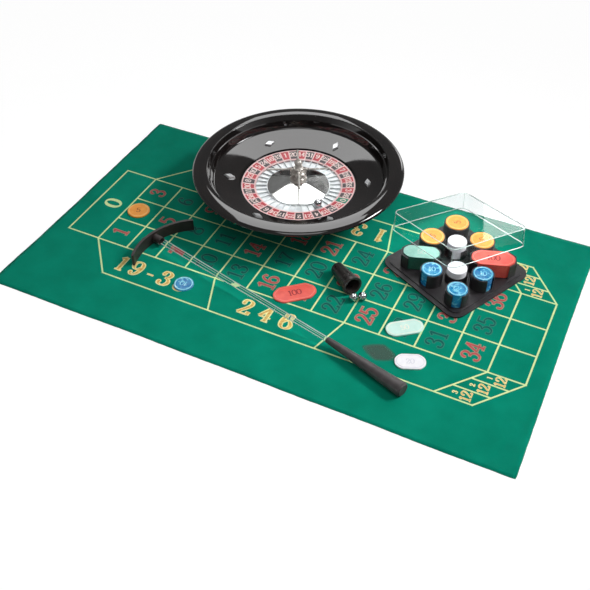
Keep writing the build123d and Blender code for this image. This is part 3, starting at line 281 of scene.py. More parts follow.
# ---- Mesh making ---------------------------------------------------------------------------
class Batch:
    """Gathers faces for one piece, each with one of the piece's finishes."""

    def __init__(self, *materials):
        self.materials, self.points, self.faces, self.index, self.smooth = materials, [], [], [], []

    def add(self, points, faces, material, smooth=False):
        """Adds faces that count their corners from the first of the points."""
        start = len(self.points)
        self.points += [tuple(p) for p in points]
        self.faces += [tuple(start + i for i in f) for f in faces]
        self.index += [self.materials.index(material)] * len(faces)
        self.smooth += [smooth] * len(faces)

    def piece(self, name, body, slot):
        """Makes the piece, which rides with a body. The slot is not used."""
        mesh = bpy.data.meshes.new(name)
        mesh.from_pydata([tuple(c * MM for c in p) for p in self.points], [], self.faces)
        for material in self.materials:
            mesh.materials.append(material)
        mesh.polygons.foreach_set("material_index", self.index)
        mesh.polygons.foreach_set("use_smooth", self.smooth)
        mesh.update()
        made = bpy.data.objects.new(name, mesh)
        bpy.context.scene.collection.objects.link(made)
        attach(made, body)
        return made


def turns(count):
    """The cosine and sine of each step round a full turn."""
    return [(math.cos(2 * math.pi * i / count), math.sin(2 * math.pi * i / count)) for i in range(count)]


def band_faces(n):
    """The faces between two closed outlines of n points, the one after the other."""
    return [(i, (i + 1) % n, n + (i + 1) % n, n + i) for i in range(n)]


def tube_faces(n, sides, closed):
    """The faces round a tube of n cross-sections with so many sides."""
    return [(i * sides + k, i * sides + (k + 1) % sides, (i + 1) % n * sides + (k + 1) % sides,
             (i + 1) % n * sides + k) for i in range(n if closed else n - 1) for k in range(sides)]


def smooth_path(points, steps, closed):
    """A Catmull-Rom line through the points."""
    n = len(points)
    line = []
    for i in range(n if closed else n - 1):
        p = [points[(i + k) % n] if closed else points[min(max(i + k, 0), n - 1)] for k in (-1, 0, 1, 2)]
        for s in range(steps):
            t = s / steps
            line.append(tuple(
                0.5 * (2 * p[1][c] + (p[2][c] - p[0][c]) * t
                       + (2 * p[0][c] - 5 * p[1][c] + 4 * p[2][c] - p[3][c]) * t * t
                       + (3 * p[1][c] - p[0][c] - 3 * p[2][c] + p[3][c]) * t ** 3) for c in (0, 1)))
    if not closed:
        line.append(tuple(points[-1]))
    return line


def ribbon(batch, line, width, material, place, closed=False, ends=0.0):
    """A flat band along a line, with place to put it in space. width is a number or takes the direction."""
    n = len(line)
    climb = HAIR * 0.4  # from each point to the next, so that a stroke may cross itself
    points = []
    for i, (x, y) in enumerate(line):
        a = line[(i - 1) % n] if closed or i else line[0]
        b = line[(i + 1) % n] if closed or i < n - 1 else line[-1]
        dx, dy = b[0] - a[0], b[1] - a[1]
        size = math.hypot(dx, dy) or 1.0
        dx, dy = dx / size, dy / size
        half = (width(dx, dy) if callable(width) else width) / 2
        if not closed and i in (0, n - 1):
            x += dx * ends * (1 if i else -1)
            y += dy * ends * (1 if i else -1)
        for side in (half, -half):
            px, py, pz = place(x - dy * side, y + dx * side)
            points.append((px, py, pz + climb * i))
    count = n if closed else n - 1
    faces = [(2 * i, 2 * i + 1, (2 * i + 3) % (2 * n), (2 * i + 2) % (2 * n)) for i in range(count)]
    batch.add(points, faces, material)


def disc(batch, centre, radius, material, place, inner=0.0, count=40):
    """A flat disc, or a ring where it has an inner radius."""
    outer = [place(centre[0] + radius * c, centre[1] + radius * s) for c, s in turns(count)]
    if inner <= 0:
        batch.add(outer, [tuple(range(count))], material)
        return
    hole = [place(centre[0] + inner * c, centre[1] + inner * s) for c, s in turns(count)]
    batch.add(outer + hole, band_faces(count), material)


# A digit is a few pen strokes in a box one high: "~" a curve, "-" straight, "o" a closed ring, "." a blob.
DIGITS = {
    "0": [("o", (0.31, 0.03), (0.07, 0.25), (0.07, 0.75), (0.31, 0.97), (0.55, 0.75), (0.55, 0.25))],
    "1": [("-", (0.12, 0.80), (0.31, 0.96)), ("-", (0.31, 0.97), (0.31, 0.03)),
          ("-", (0.14, 0.03), (0.48, 0.03))],
    "2": [("~", (0.10, 0.74), (0.16, 0.91), (0.31, 0.97), (0.49, 0.88), (0.51, 0.70), (0.38, 0.46),
           (0.20, 0.24), (0.07, 0.07)),
          ("-", (0.06, 0.06), (0.55, 0.06)), ("-", (0.55, 0.05), (0.57, 0.24)), (".", (0.12, 0.73))],
    "3": [("~", (0.10, 0.80), (0.18, 0.94), (0.34, 0.97), (0.49, 0.84), (0.45, 0.64), (0.28, 0.54)),
          ("~", (0.28, 0.54), (0.48, 0.46), (0.55, 0.26), (0.44, 0.07), (0.26, 0.03), (0.12, 0.09),
           (0.08, 0.22)),
          (".", (0.11, 0.77)), (".", (0.10, 0.22))],
    "4": [("-", (0.41, 0.03), (0.41, 0.97)), ("-", (0.41, 0.95), (0.04, 0.30)),
          ("-", (0.03, 0.29), (0.60, 0.29)), ("-", (0.26, 0.03), (0.56, 0.03))],
    "5": [("-", (0.15, 0.93), (0.52, 0.93)), ("-", (0.15, 0.95), (0.12, 0.55)),
          ("~", (0.12, 0.54), (0.31, 0.61), (0.51, 0.50), (0.55, 0.28), (0.42, 0.07), (0.22, 0.03),
           (0.08, 0.16)),
          (".", (0.11, 0.18))],
    "6": [("~", (0.50, 0.86), (0.36, 0.97), (0.17, 0.82), (0.07, 0.46), (0.12, 0.14), (0.30, 0.03),
           (0.50, 0.12), (0.55, 0.32), (0.43, 0.52), (0.26, 0.54), (0.11, 0.40)),
          (".", (0.48, 0.83))],
    "7": [("-", (0.07, 0.76), (0.09, 0.94)), ("-", (0.07, 0.93), (0.57, 0.93)),
          ("~", (0.56, 0.93), (0.40, 0.62), (0.29, 0.32), (0.26, 0.03))],
    "8": [("o", (0.31, 0.53), (0.13, 0.64), (0.14, 0.88), (0.31, 0.97), (0.48, 0.88), (0.49, 0.64)),
          ("o", (0.31, 0.53), (0.08, 0.40), (0.07, 0.14), (0.31, 0.03), (0.55, 0.14), (0.54, 0.40))],
    "9": [("~", (0.12, 0.14), (0.26, 0.03), (0.45, 0.18), (0.55, 0.54), (0.50, 0.86), (0.32, 0.97),
           (0.12, 0.88), (0.07, 0.68), (0.19, 0.48), (0.36, 0.46), (0.51, 0.60)),
          (".", (0.14, 0.17))],
    "-": [("-", (0.08, 0.40), (0.40, 0.40))],
}
ADVANCE = {"1": 0.56, "-": 0.48, " ": 0.34}    # room for a character, in heights
DIGIT_ADVANCE = 0.66
CURVE_STEPS = 6
BLOB = 0.52              # a blob's radius, in thick strokes


def number(batch, text, height, material, place, thick=0.17, thin=0.06, grow=0.0, gap=0.0):
    """Digits written about the middle of a flat patch, thick on their uprights as a pen writes them."""
    widths = [ADVANCE.get(c, DIGIT_ADVANCE) + gap for c in text]
    x0 = (gap - sum(widths)) / 2
    stroke = 0

    def pen(dx, dy):
        return thin + (thick - thin) * abs(dy) ** 1.5 + 2 * grow

    for c, advance in zip(text, widths):
        for kind, *points in DIGITS.get(c, ()):
            stroke += 1

            def put(x, y, o=x0, rise=stroke * HAIR):
                px, py, pz = place((x + o) * height, (y - 0.5) * height)
                return px, py, pz + rise

            if kind == ".":
                disc(batch, points[0], thick * BLOB + grow, material, put, count=14)
                continue
            ring = kind == "o"
            line = points if kind == "-" else smooth_path(points, CURVE_STEPS, ring)
            ribbon(batch, line, pen, material, put, closed=ring, ends=grow)
        x0 += advance


def flat(x0, y0, z, heading=0.0):
    """Places a flat point on a level surface, turned by a heading."""
    c, s = math.cos(math.radians(heading)), math.sin(math.radians(heading))
    return lambda x, y: (x0 + c * x - s * y, y0 + s * x + c * y, z)


def lathe(batch, centre, profile, material, count=64):
    """A turned form: profile is (radius, height) pairs, closed if its ends meet."""
    n = len(profile)
    points = [(centre[0] + r * c, centre[1] + r * s, z) for c, s in turns(count) for r, z in profile]
    faces = [(i * n + j, ((i + 1) % count) * n + j, ((i + 1) % count) * n + j + 1, i * n + j + 1)
             for i in range(count) for j in range(n - 1)]
    batch.add(points, faces, material, True)


def bead(batch, centre, radius, material, stretch=1.0, rows=8, count=14):
    """A small turned bead, stretched upright."""
    steps = [math.pi * k / rows for k in range(rows + 1)]
    profile = [(radius * math.sin(t), centre[2] - radius * stretch * math.cos(t)) for t in steps]
    lathe(batch, centre, profile, material, count)


# ---- Playing cloth -------------------------------------------------------------------------
CLOTH_COLUMNS = 120
CLOTH_ROWS = 72
CLOTH_CORNER = 2.0
RIPPLE_REACH = 14.0      # how far in from a short edge the cloth stands off the table
LONG_EDGE_SHARE = 0.42   # from a long edge it reaches further, by one over this
RIPPLE_RISE = 1.1
WHEEL_SPAN = (-165, 50)  # between these the far edge is under the wheel and lies flat
WHEEL_EASE = 30.0


def ripple(x, y):
    """How far the cloth's free edges stand off the table: nothing under the print and the wheel."""
    inset = min(CLOTH_SIZE[0] / 2 - abs(x), (CLOTH_SIZE[1] / 2 - abs(y)) * LONG_EDGE_SHARE)
    t = max(0.0, 1 - inset / RIPPLE_REACH)
    left, right = WHEEL_SPAN
    if y > 0 and left < x < right:
        t *= max(0.0, 1 - min(x - left, right - x) / WHEEL_EASE)
    wave = 0.5 + 0.3 * math.sin(x * 0.047 + 1.3 * math.sin(y * 0.031)) + 0.2 * math.sin(y * 0.083 + x * 0.021)
    return RIPPLE_RISE * t * t * wave


def laid(x, y):
    """Where a point of the flat sheet lies: its edges run a little off square to the print."""
    a, b = x / CLOTH_SIZE[0] * 2, y / CLOTH_SIZE[1] * 2     # -1 to 1 from the left and from the near edge
    # How far each edge stands off its place, rightwards or away from the viewer.
    near_edge = -2.2 - 1.2 * math.sin(2.2 * a + 0.3) * a
    far_edge = -5.6 + 1.6 * a * a * (a > 0)
    left_edge = -3.6 - 3.4 * max(0.0, -b - 0.3)
    right_edge = 1.6 * max(0.0, 0.2 - b)
    return (x + (1 - a) / 2 * left_edge + (1 + a) / 2 * right_edge,
            y + (1 - b) / 2 * near_edge + (1 + b) / 2 * far_edge)


def cloth_point(i, j):
    """A point of the sheet's grid as it lies, with its height off the table."""
    half_x, half_y = CLOTH_SIZE[0] / 2, CLOTH_SIZE[1] / 2
    x, y = half_x * (2 * i / CLOTH_COLUMNS - 1), half_y * (2 * j / CLOTH_ROWS - 1)
    over_x, over_y = abs(x) - (half_x - CLOTH_CORNER), abs(y) - (half_y - CLOTH_CORNER)
    if over_x > 0 and over_y > 0:
        size = math.hypot(over_x, over_y)
        x -= math.copysign(over_x * (1 - CLOTH_CORNER / size), x)
        y -= math.copysign(over_y * (1 - CLOTH_CORNER / size), y)
    fray = abs(0.18 * math.sin(1.7 * i + 0.6 * j) + 0.12 * math.sin(0.61 * i - 1.9 * j))
    if i in (0, CLOTH_COLUMNS):
        x -= math.copysign(fray, x)
    if j in (0, CLOTH_ROWS):
        y -= math.copysign(fray, y)
    return *laid(x, y), ripple(x, y)


def make_cloth():
    """The felt sheet: a top and an underside, joined round the edge."""
    nx, ny = CLOTH_COLUMNS, CLOTH_ROWS
    batch = Batch(FELT)
    under = [cloth_point(i, j) for j in range(ny + 1) for i in range(nx + 1)]
    n = len(under)

    def at(i, j):
        return j * (nx + 1) + i

    faces = []
    for j in range(ny):
        for i in range(nx):
            quad = (at(i, j), at(i + 1, j), at(i + 1, j + 1), at(i, j + 1))
            faces += [quad, tuple(n + k for k in reversed(quad))]
    ring = ([at(i, 0) for i in range(nx)] + [at(nx, j) for j in range(ny)]
            + [at(i, ny) for i in range(nx, 0, -1)] + [at(0, j) for j in range(ny, 0, -1)])
    faces += [(a, n + a, n + b, b) for a, b in zip(ring, ring[1:] + ring[:1])]
    batch.add([(x, y, CLOTH_TOP + z) for x, y, z in under] + under, faces, FELT, True)
    cloth = batch.piece("felt_cloth", "table", "cloth_green")
    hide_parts("playing_cloth")
    return cloth


# ---- The layout's print --------------------------------------------------------------------
# Places on the layout are in cells: u along the twelve columns, v across the three rows.
ZERO_END = -1.07         # the zero box's outer side
FAR_END = 13
LAST_ROW = 3.03          # the third row's far side
LINE_WIDTH = 1.9
PRINT_LEVEL = CLOTH_TOP + LIFT
CELL_DIGITS = 20         # the printed digits' heights
ZERO_DIGIT = 22
BET_DIGITS = 23
DOZEN_DIGITS = 11.5
DOZEN_INDEX = 5.5


def spot(u, v):
    """A place on the layout in the part's millimetres."""
    return ((u - ZERO_U) * CELL_X, (v - ZERO_V) * CELL_Y)


def make_lines():
    """The layout's lines: zero box, twelve columns of three cells, three blank cells and the side bets."""
    batch = Batch(PRINT_LINE)
    runs = [((ZERO_END, 0), (FAR_END, 0)), ((ZERO_END, LAST_ROW), (FAR_END, LAST_ROW)),
            ((ZERO_END, 0), (ZERO_END, LAST_ROW)), ((0, 1), (FAR_END, 1)), ((0, 2), (FAR_END, 2))]
    runs += [((u, 0), (u, LAST_ROW)) for u in range(FAR_END + 1)]
    runs += [((0, 0), (0.99, -1.14)), ((0.99, -1.14), (11.98, -1.14)), ((11.98, -1.14), (FAR_END, 0)),
             ((4, 0), (4.44, -1.12)), ((8, 0), (7.66, -1.13)), ((12, 0), (10.99, -1.12)),
             ((11.70, -0.35), (12.67, -0.36)), ((11.34, -0.742), (12.33, -0.746))]
    runs += [((0, LAST_ROW), (0.99, 4.14)), ((0.99, 4.14), (12.02, 4.16)),
             ((12.02, 4.16), (FAR_END, LAST_ROW)), ((4, LAST_ROW), (4.44, 4.13)),
             ((8, LAST_ROW), (7.70, 4.13)), ((12, LAST_ROW), (11.0, 4.14)),
             ((11.70, 3.39), (12.67, 3.40)), ((11.36, 3.78), (12.34, 3.79))]
    for k, (a, b) in enumerate(runs):
        level = PRINT_LEVEL + HAIR * k
        ribbon(batch, [spot(*a), spot(*b)], LINE_WIDTH, PRINT_LINE, flat(0, 0, level), ends=LINE_WIDTH / 2)
    return batch.piece("layout_lines", "table", "cloth_green")


def make_numbers():
    """The cells' numbers, in red or dark with a paler outline, read from the zero end."""
    batch = Batch(PRINT_RED, PRINT_DARK, PRINT_PALE, PRINT_EDGE)
    for n in range(1, 37):
        x, y = spot((n - 1) // 3 + 0.44, (n - 1) % 3 + 0.5)
        outline, fill = (PRINT_PALE, PRINT_RED) if n in RED_NUMBERS else (PRINT_EDGE, PRINT_DARK)
        number(batch, str(n), CELL_DIGITS, outline, flat(x, y, PRINT_LEVEL, 90), 0.12, 0.07, grow=0.042)
        number(batch, str(n), CELL_DIGITS, fill, flat(x, y, PRINT_LEVEL + LIFT, 90), 0.12, 0.05)
    return batch.piece("layout_numbers", "table", "cloth_green")


SIDE_BETS = (("19-36", 2.3, -0.60, 0, 0.27), ("2 4 6", 5.98, -0.60, 0, 0.05),    # text, u, v, heading, gap
             ("1-18", 2.6, 3.58, 180, 0.3), ("1 3 5", 6.8, 3.57, 180, 0.14))
LOZENGES = ((9.27, -0.55), (9.27, 3.58))
LOZENGE_HALF = (20, 12.5)
LOZENGE_LAYERS = (1.0, 0.88, 0.74)
DOZEN_ROWS = ((-0.18, -0.385), (3.21, 0.385))    # the first dozen's v and the step to the next
DOZEN_U, DOZEN_STEP = 12.40, -0.325


def make_side_bets():
    """The zero, the side bets' plain numbers, the dark lozenges and the dozens."""
    batch = Batch(PRINT_GOLD, PRINT_SHADE, PRINT_LINE, PRINT_AMBER)

    def level(u, v, turn=0.0, layer=1):
        return flat(*spot(u, v), CLOTH_TOP + layer * LIFT, turn)

    number(batch, "0", ZERO_DIGIT, PRINT_LINE, level(-0.54, 1.51, 90), 0.2, 0.1)
    for text, u, v, turn, gap in SIDE_BETS:
        number(batch, text, BET_DIGITS, PRINT_GOLD, level(u, v, turn), 0.21, 0.07, grow=0.022, gap=gap)
        number(batch, text, BET_DIGITS, PRINT_AMBER, level(u, v, turn, 2), 0.13, 0.02, gap=gap)
    for u, v in LOZENGES:
        for layer, size in enumerate(LOZENGE_LAYERS, 1):  # fading towards its edge
            put = level(u, v, 0.0, layer)
            half_x, half_y = LOZENGE_HALF[0] * size, LOZENGE_HALF[1] * size
            edge = [put(half_x * c * abs(c) ** 0.5, -half_y * s * abs(s) ** 0.5) for c, s in turns(40)]
            batch.add(edge, [tuple(range(len(edge)))], PRINT_SHADE)
    for k in range(3):
        u = DOZEN_U + DOZEN_STEP * k
        for first, step in DOZEN_ROWS:
            v = first + step * k
            number(batch, "12", DOZEN_DIGITS, PRINT_GOLD, level(u, v, 90), 0.17, 0.09, grow=0.02)
            number(batch, "12", DOZEN_DIGITS, PRINT_AMBER, level(u, v, 90, 2), 0.09, 0.03)
            number(batch, str(k + 1), DOZEN_INDEX, PRINT_GOLD, level(u - 0.29, v + 0.02, 90), 0.26, 0.16)
    return batch.piece("layout_side_bets", "table", "cloth_green")


cloth = make_cloth()
prints = [make_lines(), make_numbers(), make_side_bets()]


# ---- Wheel head ----------------------------------------------------------------------------
BAND_INNER = RING_INNER[0] + 2.1
BAND_OUTER = RING_OUTER[0] - 1.8
BAND_MIDDLE = (BAND_INNER + BAND_OUTER) / 2
BAND_LINE = 0.85         # half of the pale line between two cells
BAND_DIGITS = 7.4
BAND_DIGITS_OUT = 1.0    # the digits stand this much outside the band's middle
WHEEL_COLLARS = ((8.75, 34.6, 0.55), (5.6, 36.4, 0.5), (8.8, 41.6, 0.6), (6.55, 44.2, 0.5),
                 (4.3, 48.6, 0.4))                          # radius, height over the cloth, thickness
WREATH_BEADS = 12
WREATH_REACH, WREATH_HEIGHT, WREATH_ANGLE = 9.2, 39.6, 8
WREATH_BEAD_RADIUS, WREATH_BEAD_STRETCH = 1.25, 1.3
ARMS = 4
ARM_KNOBS = ((9.2, 2.1), (12.4, 1.5), (37.6, 1.7))          # reach along the arm, radius


def ring_place(centre_radius, angle, lift):
    """Places a flat point on the number ring's sloping top: x runs clockwise and y outwards."""
    slope = (RING_OUTER[1] - RING_INNER[1]) / (RING_OUTER[0] - RING_INNER[0])

    def put(x, y):
        r = centre_radius + y
        a = math.radians(angle) - x / centre_radius
        z = RING_INNER[1] + slope * (r - RING_INNER[0]) + lift
        return (WHEEL[0] + r * math.cos(a), WHEEL[1] + r * math.sin(a), z)
    return put


def make_number_band():
    """Coloured cells with their numbers. The ring's pale ground shows as lines round them."""
    batch = Batch(LABEL_RED, LABEL_BLACK, LABEL_GREEN, LABEL_WHITE)
    pitch = 360.0 / POCKETS
    half = math.radians(pitch / 2) * BAND_MIDDLE - BAND_LINE
    steps = 4
    for k, n in enumerate(WHEEL_ORDER):
        angle = ZERO_ANGLE - k * pitch
        put = ring_place(BAND_MIDDLE, angle, LIFT)
        material = LABEL_GREEN if n == 0 else LABEL_RED if n in RED_NUMBERS else LABEL_BLACK
        edge = [put(-half + 2 * half * i / steps, BAND_INNER - BAND_MIDDLE) for i in range(steps + 1)]
        edge += [put(half - 2 * half * i / steps, BAND_OUTER - BAND_MIDDLE) for i in range(steps + 1)]
        batch.add(edge, [tuple(range(len(edge)))], material)
        put = ring_place(BAND_MIDDLE + BAND_DIGITS_OUT, angle, 2 * LIFT)
        number(batch, str(n), BAND_DIGITS, LABEL_WHITE, put, 0.2, 0.1)
    return batch.piece("number_band", "rotor", "number_print")


def wheel_bead(batch, angle, reach, height, radius, stretch=1.0):
    """A bead on the turret, at an angle and a distance from the wheel's axis."""
    a = math.radians(angle)
    centre = (WHEEL[0] + reach * math.cos(a), WHEEL[1] + reach * math.sin(a), CLOTH_TOP + height)
    bead(batch, centre, radius, CHROME, stretch)


def make_turret_trim():
    """Collars, a wreath of beads and the arms' knobs on the turret."""
    batch = Batch(CHROME)
    for radius, height, thick in WHEEL_COLLARS:
        section = [(radius + thick * c, CLOTH_TOP + height + thick * s) for c, s in turns(10)]
        lathe(batch, WHEEL, section + section[:1], CHROME, 48)
    for k in range(WREATH_BEADS):
        wheel_bead(batch, k * 360 / WREATH_BEADS + WREATH_ANGLE, WREATH_REACH, WREATH_HEIGHT,
                   WREATH_BEAD_RADIUS, WREATH_BEAD_STRETCH)
    for k in range(ARMS):  # two knobs at each arm's root and one near its tip
        for reach, radius in ARM_KNOBS:
            wheel_bead(batch, TURRET_ANGLE + k * 360 / ARMS, reach, ARM_HEIGHT, radius)
    return batch.piece("turret_trim", "rotor", "turret_chrome")


make_number_band()
make_turret_trim()


# ---- Chips and plaques -----------------------------------------------------------------------
def turned(centre, heading, x, y):
    """A plan point of something that lies at a centre, turned by a heading."""
    return flat(*centre, 0.0, heading)(x, y)[:2]


def tray_spot(a, b):
    """A plan point of the tray, from its middle along its own sides."""
    return turned(TRAY, TRAY_HEADING, a * WELL_PITCH, b * WELL_PITCH)


def well_spot(along, across):
    """A plaque well's middle: they lie along the tray's left-right diagonal."""
    return turned(TRAY, DIAGONAL, along, across)


CHIP_EDGE = 0.9          # plain edge outside the rim band
BAND_SHARE = 0.8         # the band's inner radius, in chip radii
CHIP_DIGITS = 0.62       # the number's height, in chip radii


def chip_marks(name, body, slot, chip, places, pale, dark, text):
    """A pale rim band and a number on the top of each chip."""
    batch = Batch(pale, dark) if pale is not dark else Batch(pale)
    radius = CHIP_RADII[chip]
    for (x, y), z in places:
        heading = RANDOM.uniform(0, 360)
        disc(batch, (0, 0), radius - CHIP_EDGE, pale, flat(x, y, z + LIFT), radius * BAND_SHARE, count=56)
        number(batch, text, radius * CHIP_DIGITS, dark, flat(x, y, z + LIFT, heading), 0.17, 0.08)
    return batch.piece(name, body, slot)


def stack_tops(*wells):
    """The tops of the stacks in these wells, counted in wells from the tray's middle."""
    return [(tray_spot(a, b), STACK_TOP) for a, b in wells]


chip_marks("orange_marks", "table", "chip_orange", "orange",
           stack_tops((-1, 1), (-1, 0), (0, 1)) + [(LOOSE_CHIPS["orange"], LOOSE_TOP)],
           ORANGE_PALE, ORANGE_DARK, "5")
chip_marks("white_marks", "table", "chip_white", "white", stack_tops((-0.4, 0.4), (0.4, -0.4)),
           WHITE_DARK, WHITE_DARK, "1")
for name, body, places in (
        ("blue_marks", "table", stack_tops((0, -1)) + [(LOOSE_CHIPS["blue"], LOOSE_TOP)]),
        ("blue_marks_right", "blue_chips_right", stack_tops((1, 0))),
        ("blue_marks_front", "blue_chips_front", stack_tops((1, -1)))):
    chip_marks(name, body, "chip_blue", "blue", places, BLUE_PALE, BLUE_PALE, "10")


def plaque_outline(size, shrink):
    """A long octagon's corners, drawn in by a margin."""
    length, width, cut_x, cut_y = size
    hx, hy = length / 2 - shrink, width / 2 - shrink
    cx, cy = cut_x - shrink * 0.4, cut_y - shrink * 0.4
    return [(hx, hy - cy), (hx - cx, hy), (-hx + cx, hy), (-hx, hy - cy),
            (-hx, -hy + cy), (-hx + cx, -hy), (hx - cx, -hy), (hx, -hy + cy)]


def rounded(corners, radius, steps=5):
    """The same outline with each corner turned through an arc."""
    line, n = [], len(corners)
    for i, corner in enumerate(corners):
        here = Vector(corner)
        back = (Vector(corners[i - 1]) - here).normalized()
        ahead = (Vector(corners[(i + 1) % n]) - here).normalized()
        half = back.angle(ahead) / 2
        reach = radius / math.tan(half)
        start, end = here + back * reach, here + ahead * reach
        middle = here + (back + ahead).normalized() * (radius / math.sin(half))
        a, b = start - middle, end - middle
        turn = a.angle_signed(b)
        for k in range(steps):
            t = -turn * k / (steps - 1)
            line.append((middle.x + a.x * math.cos(t) - a.y * math.sin(t),
                         middle.y + a.x * math.sin(t) + a.y * math.cos(t)))
    return line


BORDER_MARGINS = (1.6, 2.3)      # from a plaque's edge to its border's outside and inside
BORDER_CORNERS = (6.8, 6.2)      # the border's corner radii
PLAQUE_DIGITS = 0.34             # the number's height, in plaque widths
GREEN_TOP_MARGIN = 0.3
GREEN_TOP_CORNER = 7.7
GREEN_TOP_DIGITS = 7.5


def plaque_marks(name, slot, plaque, places, rim, mark, text):
    """A printed border and a number on the top of each plaque."""
    batch = Batch(rim, mark) if rim is not mark else Batch(rim)
    size = PLAQUES[plaque]
    outer, inner = (rounded(plaque_outline(size, margin), corner)
                    for margin, corner in zip(BORDER_MARGINS, BORDER_CORNERS))
    for (x, y), z, heading in places:
        put = flat(x, y, z + LIFT, heading)
        batch.add([put(*p) for p in outer + inner], band_faces(len(outer)), rim)
        number(batch, text, size[1] * PLAQUE_DIGITS, mark, put, 0.17, 0.08)
    return batch.piece(name, "table", slot)


def make_green_top():
    """The top plaque of the green stack, a paler one than those under it."""
    batch = Batch(GREEN_TOP, GREY_MARK)
    middle = well_spot(-PLAQUE_PITCH, -1.2)
    face, print_on = (flat(*middle, STACK_TOP + layer * LIFT, DIAGONAL) for layer in (1, 2))
    outline = rounded(plaque_outline(PLAQUES["green"], GREEN_TOP_MARGIN), GREEN_TOP_CORNER)
    batch.add([face(*p) for p in outline], [tuple(range(len(outline)))], GREEN_TOP)
    number(batch, "50", GREEN_TOP_DIGITS, GREY_MARK, print_on, 0.17, 0.08)
    return batch.piece("green_stack_top", "table", "plaque_green")


make_green_top()
plaque_marks("red_plaque_marks", "plaque_red", "red",
             [LOOSE_PLAQUES["red"], (well_spot(PLAQUE_PITCH, -0.8), STACK_TOP, DIAGONAL)],
             RED_PALE, RED_DARK, "100")
plaque_marks("green_plaque_marks", "plaque_green", "green", [LOOSE_PLAQUES["green"]],
             MINT_MARK, MINT_MARK, "50")
plaque_marks("white_plaque_marks", "chip_white", "white", [LOOSE_PLAQUES["white"]],
             WHITE_DARK, WHITE_DARK, "20")


# ---- Clear parts' painted highlights: pale strands along their edges -------------------------
def strand(batch, line, radius, material, closed=False, sides=8):
    """A thin round strand along a line in space."""
    n = len(line)
    points = []
    for i, here in enumerate(line):
        a = line[i - 1] if closed or i else line[0]
        b = line[(i + 1) % n] if closed or i < n - 1 else line[-1]
        way = (b - a).normalized()
        side = way.cross(Vector((0.0, 0.0, 1.0)))
        side = side.normalized() if side.length > 0.05 else Vector((1.0, 0.0, 0.0))
        up = side.cross(way)
        points += [here + (side * c + up * s) * radius for c, s in turns(sides)]
    batch.add(points, tube_faces(n, sides, closed), material, True)


def heading_way(heading):
    """The level direction of a heading in degrees."""
    return Vector((math.cos(math.radians(heading)), math.sin(math.radians(heading)), 0.0))


def lid_point(x, y, z):
    """A point in the lid's own frame: its origin is the middle of the top plate's outer face."""
    tilt = Matrix.Rotation(math.radians(LID_TILT), 3, heading_way(LID_TILT_HEADING + 90))
    level = Matrix.Rotation(math.radians(LID_HEADING), 3, "Z")
    return LID_TOP + tilt @ (level @ Vector((x, y, z)))


def make_lid_edges():
    """Painted highlights on the lid: pale strands round its top, round its rim and down its corners, standing
    in for the bright edges of clear plastic.
    """
    batch = Batch(LID_HIGHLIGHT_PAINT)

    def loop(side, corner, z, radius):
        h = side / 2
        square = rounded([(h, h), (-h, h), (-h, -h), (h, -h)], corner, 9)
        strand(batch, [lid_point(x, y, z) for x, y in square], radius, LID_HIGHLIGHT_PAINT, True)

    loop(LID_SIDE - 2 * LID_DRAFT - 1.2, LID_CORNER - LID_DRAFT - 0.6, -0.6, 0.42)
    loop(LID_SIDE - 1.0, LID_CORNER - 0.5, 0.5 - LID_DEPTH, 0.38)
    inset = 0.293            # how far a round corner's middle stands in from the square's, in radii
    low = LID_SIDE / 2 - LID_CORNER * inset - 0.5
    high = LID_SIDE / 2 - LID_DRAFT - (LID_CORNER - LID_DRAFT) * inset - 0.5
    for sx, sy in ((1, 1), (-1, 1), (-1, -1), (1, -1)):
        foot, top = lid_point(sx * low, sy * low, 0.6 - LID_DEPTH), lid_point(sx * high, sy * high, -0.8)
        strand(batch, [foot, top], 0.26, LID_HIGHLIGHT_PAINT)
    return batch.piece("painted_lid_highlights", "lid", "lid_clear")


def make_rod_edges():
    """Painted highlights in the clear rod: three pale strands, one along each flank and a thinner one between
    them.
    """
    batch = Batch(ROD_HIGHLIGHT_PAINT)
    way, side = heading_way(RAKE_HEADING), heading_way(RAKE_HEADING + 90)
    first, last = ROD_RADII
    for flank, thick in ((1, 0.42), (-1, 0.42), (0.2, 0.2)):
        line = []
        for s in (14.0, 90.0, 170.0, ROD_LENGTH - 1.0):
            depth = first + (last - first) * s / ROD_LENGTH - 0.5
            line.append(Vector(ROD_START) + way * s + side * flank * depth)
        strand(batch, line, thick, ROD_HIGHLIGHT_PAINT)
    return batch.piece("painted_rod_highlights", "rake", "rod_clear")


make_lid_edges()
make_rod_edges()


# ---- Ball tube's mouth -------------------------------------------------------------------------
def make_tube_rings():
    """Two raised rings round the ball tube near its mouth."""
    batch = Batch(TUBE_BLACK)
    steps, sides = 40, 8
    rise = math.radians(TUBE_RISE)
    way = heading_way(TUBE_HEADING) * math.cos(rise) + Vector((0.0, 0.0, math.sin(rise)))
    side = heading_way(TUBE_HEADING + 90)
    up = way.cross(side)
    for along, radius, thick in TUBE_RINGS:
        centre = Vector(TUBE_START) + way * along
        points = []
        for c, s in turns(steps):
            out = side * c + up * s
            points += [centre + out * radius + (way * a + out * b) * thick for a, b in turns(sides)]
        batch.add(points, tube_faces(steps, sides, True), TUBE_BLACK, True)
    return batch.piece("tube_rings", "table", "tube_black")


make_tube_rings()


# ---- Studio: metres ----------------------------------------------------------------------------
FLOOR_REACH = 9.0
FLOOR_LEVEL = -0.0003
FLOOR_GLOW = 1.1
FLOOR_GLOW_SHARE = 0.86
SKY = ((0.0, 1.0), (0.06, 0.7), (0.14, 0.2), (1.0, 0.2))    # sine of the elevation, brightness


